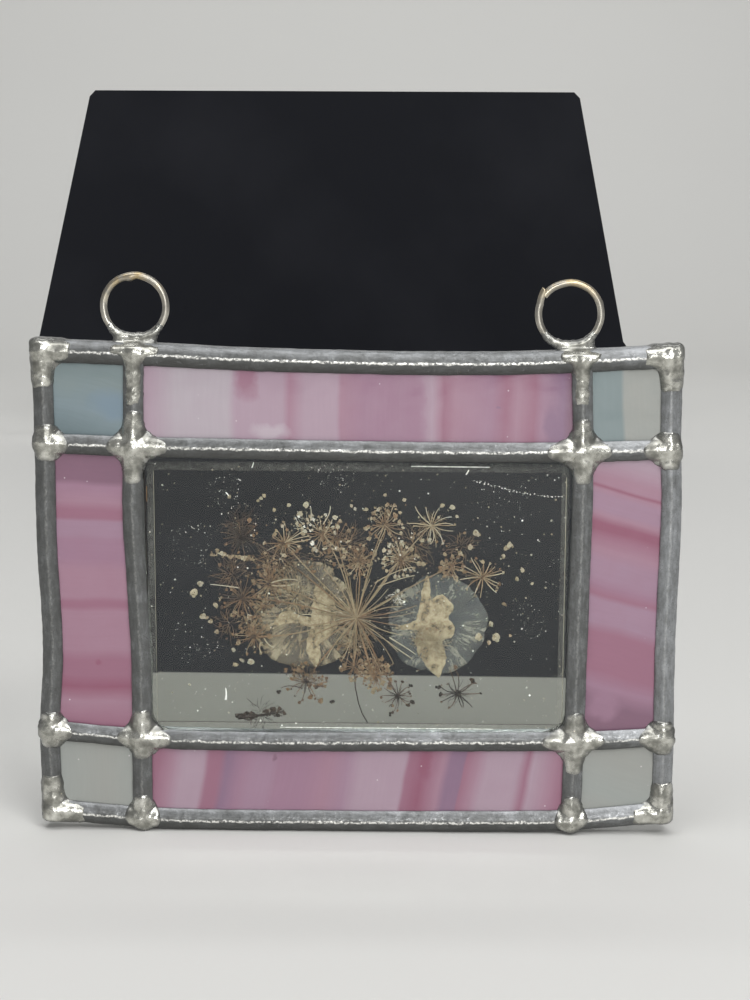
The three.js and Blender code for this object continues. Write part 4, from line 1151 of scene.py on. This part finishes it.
def swept_came(name, section, line, start, end):
    """A section swept along a line, with the hand-worked strip's slow waves and shallow dents.

    Its points carry how far up they face, and where they lie across and along the strip.
    """
    steps = max(4, round(abs(end - start) / SWEEP_STEP))
    way = math.copysign(1, end - start)
    points, upper, drawn = [], [], []
    for i in range(steps + 1):
        s = start + (end - start) * i / steps
        x, z = line.point(s)
        ahead, behind = line.point(s + 0.5 * way), line.point(s - 0.5 * way)
        run = math.hypot(ahead[0] - behind[0], ahead[1] - behind[1])
        across_x, across_z = (ahead[1] - behind[1]) / run, -(ahead[0] - behind[0]) / run
        for a, depth in section:
            outer = abs(depth) > BORDER_CHANNEL or abs(a) > BORDER_HALF - WEB
            spot = Vector((x + a * across_x, depth * 1.7, z + a * across_z))
            wave = noise.noise(spot * 0.13) * 0.14 + noise.noise(spot * 0.45) * 0.09
            nick = noise.noise(spot * 1.3) * 0.045 + noise.noise(spot * 2.9) * 0.02
            swell = 1 + (wave if outer else 0) * 0.25
            dent = (wave * 0.75 + nick if outer else 0) * math.copysign(1, depth)
            points.append(at(x + a * swell * across_x, depth + dent, z + a * swell * across_z))
            upper.append(a * across_z / CAME_HALF)
            drawn += [a / CAME_HALF, s, 1 - line.along]
    count = len(section)
    faces = grid_faces(steps + 1, count, closed=True)
    faces += [tuple(range(count)), tuple(range(steps * count, (steps + 1) * count))[::-1]]
    obj = mesh_object(name, points, faces)
    obj.data.attributes.new("upper", "FLOAT", "POINT").data.foreach_set("value", upper)
    obj.data.attributes.new("drawn", "FLOAT_VECTOR", "POINT").data.foreach_set("vector", drawn)
    return outward(obj)


def lead_material():
    """Dull drawn lead, paler at the right and, as painted top light, paler where it faces up, with painted
    glints along a level strip's ridge.
    """
    look = Look("lead", Metallic=0.4)
    place = look.place()
    drawn = look.carried("drawn", "Vector")
    streak = look.grain(look.vector("MULTIPLY", drawn, (3.4, 0.22, 5.0)), 1.0, 6.0, 0.7)
    blotch = look.grain(place, 200.0, 8.0, 0.7)
    grit = look.grain(place, 1500.0, 4.0, 0.7)
    wear = look.grain(place, 700.0, 3.0, 0.6)
    pale_side = look.spread(look.part("X", place), 0.05, 0.084, -0.03, 0.22)
    # Painted light: the lead is paler where its points face up and darker where they face down, by their
    # upper value
    painted_top_light_and_pale_side = look.maths("MULTIPLY_ADD", look.carried("upper"), 0.2, pale_side)
    streaked = look.maths("MULTIPLY_ADD", streak, 0.45, painted_top_light_and_pale_side)
    tone = look.maths("MULTIPLY_ADD", blotch, 0.55, streaked)
    dull = look.ramp(
        tone, (0.3, (0.07, 0.071, 0.068, 1)), (0.5, (0.112, 0.115, 0.113, 1)),
        (0.64, (0.19, 0.196, 0.198, 1)), (0.82, (0.33, 0.34, 0.35, 1)),
    )
    # Painted highlight: a broken line of near-white glints along the ridge of level strips
    sway = look.maths("MULTIPLY_ADD", wear, 0.5, look.part("X", drawn))
    from_ridge = look.maths("ABSOLUTE", look.maths("SUBTRACT", sway, 0.25))
    ridge_glint_spots = look.maths("MULTIPLY", look.spread(from_ridge, 0.15, 0.03), look.spread(grit, 0.4, 0.56))
    level = look.spread(look.part("Z", drawn), 0.0, 1.0, 0.1, 1.0)
    painted_glint = look.maths("MULTIPLY", ridge_glint_spots, level)
    spotted = look.mixed(look.spread(grit, 0.6, 0.74, 0.0, 0.5), dull, (0.4, 0.41, 0.42, 1))
    # The near-white colour here is the painted highlight on the ridge
    look.feed(Base_Color=look.mixed(painted_glint, spotted, (0.95, 0.94, 0.88, 1)))
    look.feed(Roughness=look.spread(grit, 0.38, 0.62, 0.5, 0.26))
    look.relief(look.maths("MULTIPLY_ADD", grit, 0.5, wear), 0.45, 0.0002)
    return look.material


LEAD = lead_material()
to_border = BORDER_HALF + BUTT_GAP


def came(node, section, line, start, end):
    """One strip of lead in the frame."""
    obj = swept_came("lead_" + node, section, line, start, end)
    obj.data.materials.append(LEAD)
    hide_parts(node)
    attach(obj, "root")


border, inner = border_section(), inner_section()
pressed = [(a * PRESSED_LIP if a < 0 else a, depth) for a, depth in border]
corner_z = {
    (level, upright): crossing(level, upright, 1 if level is BOTTOM_BORDER else -1)[1]
    for level in (TOP_BORDER, BOTTOM_BORDER) for upright in (LEFT_BORDER, RIGHT_BORDER)
}
came("border_bottom", border, BOTTOM_BORDER, LEFT_END, BOTTOM_RIGHT_END)
came("border_top", border, TOP_BORDER, TOP_RIGHT_END, LEFT_END)
came("border_right", pressed, RIGHT_BORDER, corner_z[BOTTOM_BORDER, RIGHT_BORDER],
     corner_z[TOP_BORDER, RIGHT_BORDER])
came("border_left", pressed, LEFT_BORDER, corner_z[TOP_BORDER, LEFT_BORDER],
     corner_z[BOTTOM_BORDER, LEFT_BORDER])
for node, line in (("came_upper", UPPER_CAME), ("came_lower", LOWER_CAME)):
    came(node, inner, line, crossing(line, LEFT_BORDER, 0, to_border - 1)[0],
         crossing(line, RIGHT_BORDER, 0, 1 - to_border)[0])
LEVELS = [BOTTOM_BORDER, LOWER_CAME, UPPER_CAME, TOP_BORDER]
for side, line in (("left", LEFT_CAME), ("right", RIGHT_CAME)):
    for part, below, above in zip(("bottom", "middle", "top"), LEVELS, LEVELS[1:]):
        came(f"came_{side}_{part}", inner, line, crossing(below, line, 2)[1], crossing(above, line, -2)[1])

# Solder joints
# Tin and lead solder melted over every joint of the cames: lumpy four-armed stars on the crossings, short
# lumps at the border, and on the corners and under the rings it wraps over the panel's edge.
SOLDER_STEP, SLOPE_STEP = 0.25, 0.05
SOLDER_HALF, SOLDER_BORDER_HALF = 2.68, 2.98
SOLDER_THIN, SOLDER_MOUND, SOLDER_SPREAD = 0.12, 0.6, 4.4
FILLET, TAPER, TAPER_REACH = 4.8, 0.6, 4.5
RIM_WIDTH, JOINT_ROUND, WRAP_ROUND = 1.6, 1.3, 1.6
RIM_SINK, FOOT_SINK = 0.18, 0.5


def smooth_union(a, b, blend):
    """The nearer of two distances, with a fillet where they meet."""
    mix = min(max(0.5 + 0.5 * (b - a) / blend, 0), 1)
    return b * (1 - mix) + a * mix - blend * mix * (1 - mix)


def arm(line, low, high, half, shift=0.0, corner=1.0, taper=0.0):
    """A distance to solder along a line, with ends that may narrow; it is negative inside."""

    def distance(x, z):
        s, across = (x, z - line.at(x)) if line.along == 0 else (z, x - line.at(z))
        to_end = max(0.0, 1 - min(s - low, high - s) / TAPER_REACH)
        over = max(s - high, low - s) + corner
        beside = abs(across - shift) - half * (1 - taper * min(to_end, 1) ** 2) + corner
        return math.hypot(max(over, 0), max(beside, 0)) + min(max(over, beside), 0) - corner

    return distance


def lump(name, distance, front, back, centre, reach):
    """A closed lump of solder over where a distance is negative; front and back give its two faces."""
    steps = round(reach / SOLDER_STEP)
    span = range(-steps, steps + 1)
    spots = {(i, j): (centre[0] + i * SOLDER_STEP, centre[1] + j * SOLDER_STEP) for i in span for j in span}
    inside = {key: distance(*spot) for key, spot in spots.items()}
    order, points_front, points_back, inner, faces = {}, [], [], [], []

    def corner(key):
        """The number of a grid spot's point, which is moved onto the rim where it lies outside."""
        if key not in order:
            x, z = spots[key]
            d = inside[key]
            for _ in range(3 if d > 0 else 0):
                slope_x = (distance(x + SLOPE_STEP, z) - distance(x - SLOPE_STEP, z)) / (2 * SLOPE_STEP)
                slope_z = (distance(x, z + SLOPE_STEP) - distance(x, z - SLOPE_STEP)) / (2 * SLOPE_STEP)
                steep = max(slope_x ** 2 + slope_z ** 2, 0.2)
                x, z = x - d * slope_x / steep, z - d * slope_z / steep
                d = distance(x, z)
            order[key] = len(points_front)
            points_front.append(at(x, front(x, z, min(d, 0)), z))
            inner.append(min(-min(inside[key], 0) / RIM_WIDTH, 1))
            points_back.append(at(x, back(x, z, min(d, 0)), z))
        return order[key]

    edges = set()
    for i in range(-steps, steps):
        for j in range(-steps, steps):
            keys = [(i, j), (i + 1, j), (i + 1, j + 1), (i, j + 1)]
            if min(inside[key] for key in keys) < 0:
                face = [corner(key) for key in keys]
                faces.append(tuple(face))
                edges.update(zip(face, face[1:] + face[:1]))
    count = len(points_front)
    faces += [tuple(count + k for k in reversed(face)) for face in faces]
    faces += [(b, a, count + a, count + b) for a, b in edges if (b, a) not in edges]
    obj = mesh_object("lump_" + name, points_front + points_back, faces, [SOLDER])
    obj.data.attributes.new("inner", "FLOAT", "POINT").data.foreach_set("value", inner + inner)
    outward(obj)
    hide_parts(name)
    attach(obj, "root")


def rough_skin(x, z, layer):
    """The lumps and pits of hand-run solder, in mm."""
    spot = Vector((x, layer * 9.0, z))
    wave = noise.noise(spot * 0.25) * 0.26 + noise.noise(spot * 0.6) * 0.16
    return wave + noise.noise(spot * 1.4) * 0.05 + noise.noise(spot * 3.4) * 0.012


def ragged(x, z, layer, broad, fine=0.0):
    """How far the outline of hand-run solder wanders at a place, in mm."""
    return ripple(x * 0.6, layer, z * 0.6) * broad + ripple(x * 1.6, layer, z * 1.6) * fine


def dome(d, round_over):
    """0 at the rim to 1 where the distance is deeper than round_over."""
    t = min(-d / round_over, 1)
    return math.sqrt(max(1 - (1 - t) ** 2, 0))


def solder_material():
    """Warm silver solder, brighter than the lead, with dark pits and dull grey films."""
    look = Look("solder", Metallic=0.85)
    place = look.place()
    film = look.grain(place, 260.0, 7.0, 0.6)
    bright = look.ramp(
        film, (0.3, (0.17, 0.168, 0.15, 1)), (0.44, (0.3, 0.297, 0.265, 1)),
        (0.56, (0.52, 0.515, 0.465, 1)), (0.7, (0.8, 0.79, 0.73, 1)),
    )
    near_rim = look.spread(look.carried("inner"), 0.0, 0.8, 0.75, 0.0)
    tone = look.mixed(near_rim, bright, (0.15, 0.153, 0.155, 1))
    fine = look.grain(place, 1500.0, 5.0, 0.7)
    pits = look.spread(fine, 0.36, 0.28)
    look.feed(Base_Color=look.mixed(pits, tone, (0.08, 0.078, 0.07, 1)))
    look.feed(Roughness=look.spread(film, 0.3, 0.65, 0.42, 0.16))
    look.relief(fine, 0.3, 0.0002)
    return look.material


SOLDER = solder_material()


def over_cames(level, upright, x, z):
    """The height of the cames' faces where two lines cross, sloping down to the glass beside them."""
    heights = []
    for across in (abs(z - level.at(x)), abs(x - upright.at(z))):
        if across < CAME_HALF:
            heights.append(face_height(across / CAME_HALF, FACE_EDGE))
        else:
            heights.append(max(FACE_EDGE - 0.8 * (across - CAME_HALF), GLASS_HALF))
    return -smooth_union(-heights[0], -heights[1], 0.6)


def thickness(away):
    """How thick the solder stands on the cames: most at a joint's middle, least where an arm runs out."""
    return SOLDER_THIN + SOLDER_MOUND * math.exp(-(away / SOLDER_SPREAD) ** 2)


def solder_half(line):
    """How far solder spreads to each side of a line; it covers a border's flat side too."""
    return SOLDER_BORDER_HALF if line in (BOTTOM_BORDER, LEFT_BORDER, RIGHT_BORDER) else SOLDER_HALF


def joint(name, level, upright, left, right, up, down):
    """Two lumps, front and back, over a crossing, with the reach of each arm in mm."""
    x, z = crossing(level, upright)
    run = arm(level, x - left, x + right, solder_half(level), taper=TAPER)
    rise = arm(upright, z - down, z + up, solder_half(upright), taper=TAPER / 2)

    def distance(a, b):
        return smooth_union(run(a, b), rise(a, b), FILLET) + ragged(a, b, 3, 0.25, 0.1)

    for face, side in (("front", -1), ("back", 1)):

        def top(a, b, d, side=side):
            full = dome(d, JOINT_ROUND)
            thick = thickness(math.hypot(a - x, b - z))
            film = (thick + rough_skin(a, b, side) * min(thick / 0.5, 1)) * full - RIM_SINK * (1 - full)
            return side * (over_cames(level, upright, a, b) + film)

        def bottom(a, b, d, side=side):
            return side * (GLASS_HALF - FOOT_SINK)

        pair = (top, bottom) if side < 0 else (bottom, top)
        lump(f"solder_{name}_{face}", distance, *pair, (x, z), max(left, right, up, down) + 1)


# Each joint as its two lines and its arms' reach to the left, right, up and down, in mm
JOINTS = {
    "cross_upper_left": (UPPER_CAME, LEFT_CAME, 7, 9, 9.4, 9.6),
    "cross_upper_right": (UPPER_CAME, RIGHT_CAME, 9.4, 7.5, 8.6, 8.4),
    "cross_lower_left": (LOWER_CAME, LEFT_CAME, 6.6, 8, 8, 5.3),
    "cross_lower_right": (LOWER_CAME, RIGHT_CAME, 8.6, 8, 8, 9),
    "tee_left_upper": (UPPER_CAME, LEFT_BORDER, 0, 6, 5, 4.4),
    "tee_left_lower": (LOWER_CAME, LEFT_BORDER, 0, 6, 5, 4.4),
    "tee_right_upper": (UPPER_CAME, RIGHT_BORDER, 7, 0, 4.5, 5),
    "tee_right_lower": (LOWER_CAME, RIGHT_BORDER, 6.4, 0, 4.4, 4.4),
    "tee_bottom_left": (BOTTOM_BORDER, LEFT_CAME, 4.6, 4.8, 6.5, 0),
    "tee_bottom_right": (BOTTOM_BORDER, RIGHT_CAME, 4, 4, 7, 0),
}
for name, values in JOINTS.items():
    joint(name, *values)

WRAP_HALF, WRAP_SHIFT, WRAP_RIM, WRAP_CORNER = 3.12, 0.16, 1.3, 1.3
INSIDE_FILLET, OUTSIDE_FILLET = 3.4, 0.6


def wrapped(name, distance, centre, reach, height, rim=lambda a, b: WRAP_RIM):
    """Solder over both faces and the edge between them; height gives its half depth at a place."""

    def face(side):
        def depth(a, b, d):
            full = dome(d, WRAP_ROUND)
            low = rim(a, b)
            return side * (low + (height(a, b) - low) * full + rough_skin(a, b, side) * full)

        return depth

    lump(name, distance, face(-1), face(1), centre, reach)


def corner_solder(name, level, upright, out_x, out_z, level_reach, upright_reach):
    """Solder wrapped round a corner of the border; out_x and out_z are the corner's two signs."""
    x, z = crossing(level, upright)
    ends = sorted((x - out_x * level_reach, x + out_x * WRAP_HALF))
    run = arm(level, *ends, WRAP_HALF, WRAP_SHIFT * out_z, WRAP_CORNER)
    ends = sorted((z - out_z * upright_reach, z + out_z * WRAP_HALF))
    rise = arm(upright, *ends, WRAP_HALF, WRAP_SHIFT * out_x, WRAP_CORNER)

    def narrowing(away, far_end):
        """How much an arm narrows towards its far end."""
        return max(0.0, 1 - (far_end - away) / TAPER_REACH) ** 2

    def distance(a, b):
        inside_corner = (a - x) * out_x < 0 and (b - z) * out_z < 0
        level_arm = run(a, b) + narrowing(abs(a - x), level_reach)
        upright_arm = rise(a, b) + narrowing(abs(b - z), upright_reach)
        fillet = INSIDE_FILLET if inside_corner else OUTSIDE_FILLET
        return smooth_union(level_arm, upright_arm, fillet) + ragged(a, b, 3, 0.2)

    def height(a, b):
        return over_cames(level, upright, a, b) + thickness(math.hypot(a - x, b - z))

    wrapped("solder_corner_" + name, distance, (x, z), max(level_reach, upright_reach) + 1, height)


corner_solder("top_left", TOP_BORDER, LEFT_BORDER, -1, 1, 8.5, 10.5)
corner_solder("top_right", TOP_BORDER, RIGHT_BORDER, 1, 1, 8, 10)
corner_solder("bottom_left", BOTTOM_BORDER, LEFT_BORDER, -1, -1, 9.5, 11)
corner_solder("bottom_right", BOTTOM_BORDER, RIGHT_BORDER, 1, -1, 8.6, 9.5)

# Hanging rings
# Two closed rings of tinned wire, tarnished brown at the top. Each stands on the top border over an upright
# came, and solder run up round its lowest wire holds it.
RING_RADIUS, WIRE_HALF = 7.9, 0.9
RING_STEPS, WIRE_SIDES = 200, 14
LAP_FROM, LAP = 345, 15
RING_AT = {"left": -56.5, "right": 53.7}
# The ring solder's reach to the left, right and down, in mm
HANGER_ARMS = {"left": (6.5, 7, 13.5), "right": (6, 5.5, 12)}
HANGER_HALF, HANGER_REACH = 2.2, 15


def ring_middle(side):
    """Where a ring's middle lies, as (x, z)."""
    x = RING_AT[side]
    return x, TOP_BORDER.at(x) + BORDER_HALF + BUTT_GAP + RING_RADIUS + WIRE_HALF - 0.1


def ring_material():
    """Tinned wire: bright silver with warm grey film, and brown and brassy tarnish towards the top."""
    look = Look("ring_wire", Metallic=0.9)
    place = look.place()
    film = look.grain(place, 240.0, 6.0, 0.6)
    tin = look.ramp(film, (0.32, (0.25, 0.235, 0.2, 1)), (0.6, (0.6, 0.57, 0.5, 1)))
    brass = look.ramp(film, (0.35, (0.1, 0.07, 0.04, 1)), (0.6, (0.5, 0.4, 0.24, 1)))
    top = look.spread(look.part("Z", place), -0.006, 0.0005)
    tarnish = look.maths("MULTIPLY", top, look.spread(film, 0.4, 0.56))
    look.feed(Base_Color=look.mixed(tarnish, tin, brass))
    look.feed(Roughness=look.spread(film, 0.0, 1.0, 0.45, 0.2))
    return look.material


WIRE = ring_material()


def ring(side, start, sweep, lift_end, drip_at):
    """A bent wire from one angle through a sweep; its last stretch may lie beside its first."""
    x, z = ring_middle(side)
    points = []
    closed = abs(sweep) == 360
    rows = RING_STEPS if closed else RING_STEPS + 1
    for i in range(rows):
        angle = math.radians(start + sweep * i / RING_STEPS)
        past = 0.0 if closed else max(0.0, (abs(sweep) * i / RING_STEPS - LAP_FROM) / LAP)
        bump = ripple(2 * math.cos(angle), 2 * math.sin(angle), 7) * 0.1
        centre = RING_RADIUS + lift_end * past + bump
        for j in range(WIRE_SIDES):
            round_angle = 2 * math.pi * j / WIRE_SIDES
            spot = Vector((3 * math.cos(angle), 3 * math.sin(angle), round_angle))
            wire = WIRE_HALF * (1 + noise.noise(spot) * 0.05)
            if drip_at is not None:
                near = math.exp(-((math.degrees(angle) - drip_at) / 9) ** 2)
                wire += 0.5 * near * max(0.0, -math.cos(round_angle))
            out = centre + wire * math.cos(round_angle)
            depth = wire * math.sin(round_angle) - 0.35 * lift_end * past
            points.append(at(x + out * math.cos(angle), depth, z + out * math.sin(angle)))
    faces = grid_faces(rows, WIRE_SIDES, closed=True)
    last = (rows - 1) * WIRE_SIDES
    if closed:
        for j in range(WIRE_SIDES):
            k = (j + 1) % WIRE_SIDES
            faces.append((last + j, last + k, k, j))
    else:
        faces += [tuple(range(WIRE_SIDES)), tuple(range(last, last + WIRE_SIDES))]
    obj = outward(mesh_object("wire_ring_" + side, points, faces, [WIRE]))
    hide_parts("ring_" + side)
    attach(obj, "root")


ring("left", 0, 360, 0.0, 98)
ring("right", 146, -370, 0.55, None)


def fading(value, start, length):
    """0 up to a start, then evenly to 1 over a length."""
    return min(max((value - start) / length, 0), 1)


def hanger_solder(side, line, left, right, down):
    """Solder that holds a ring: along the border's upper part, down the came and up round the wire."""
    x, z = crossing(TOP_BORDER, line)
    ring_x, ring_z = ring_middle(side)
    run = arm(TOP_BORDER, x - left, x + right, HANGER_HALF, WRAP_HALF + WRAP_SHIFT - HANGER_HALF, taper=0.5)
    rise = arm(line, z - down, z, SOLDER_HALF, taper=0.15)
    edge = TOP_BORDER.at(ring_x) + BORDER_HALF

    def up_the_wire(b):
        """1 at the ring's foot to 0 where the solder has thinned out to the bare wire."""
        return 1 - fading(b, ring_z - 7.2, 3.2)

    def distance(a, b):
        from_wire = abs(math.hypot(a - ring_x, b - ring_z) - RING_RADIUS) - WIRE_HALF
        foot = max(from_wire + 0.25 - 0.6 * up_the_wire(b), b - ring_z + 3)
        with_foot = smooth_union(run(a, b), foot, 3.2)
        return smooth_union(with_foot, rise(a, b), 3.0) + ragged(a, b, 5, 0.3, 0.15)

    def height(a, b):
        high = fading(b, edge - 1, 1.6)
        low = over_cames(TOP_BORDER, line, a, b) + thickness(math.hypot(a - x, b - z))
        return low * (1 - high) + (0.8 + 0.75 * up_the_wire(b)) * high

    def rim(a, b):
        high = fading(b, edge - 0.5, 1.1)
        return WRAP_RIM * (1 - high) + 0.5 * high

    wrapped("solder_hanger_" + side, distance, (x, z), HANGER_REACH, height, rim)


for side, line in (("left", LEFT_CAME), ("right", RIGHT_CAME)):
    hanger_solder(side, line, *HANGER_ARMS[side])

for shape in BUD_SHAPES:
    bpy.data.objects.remove(shape)
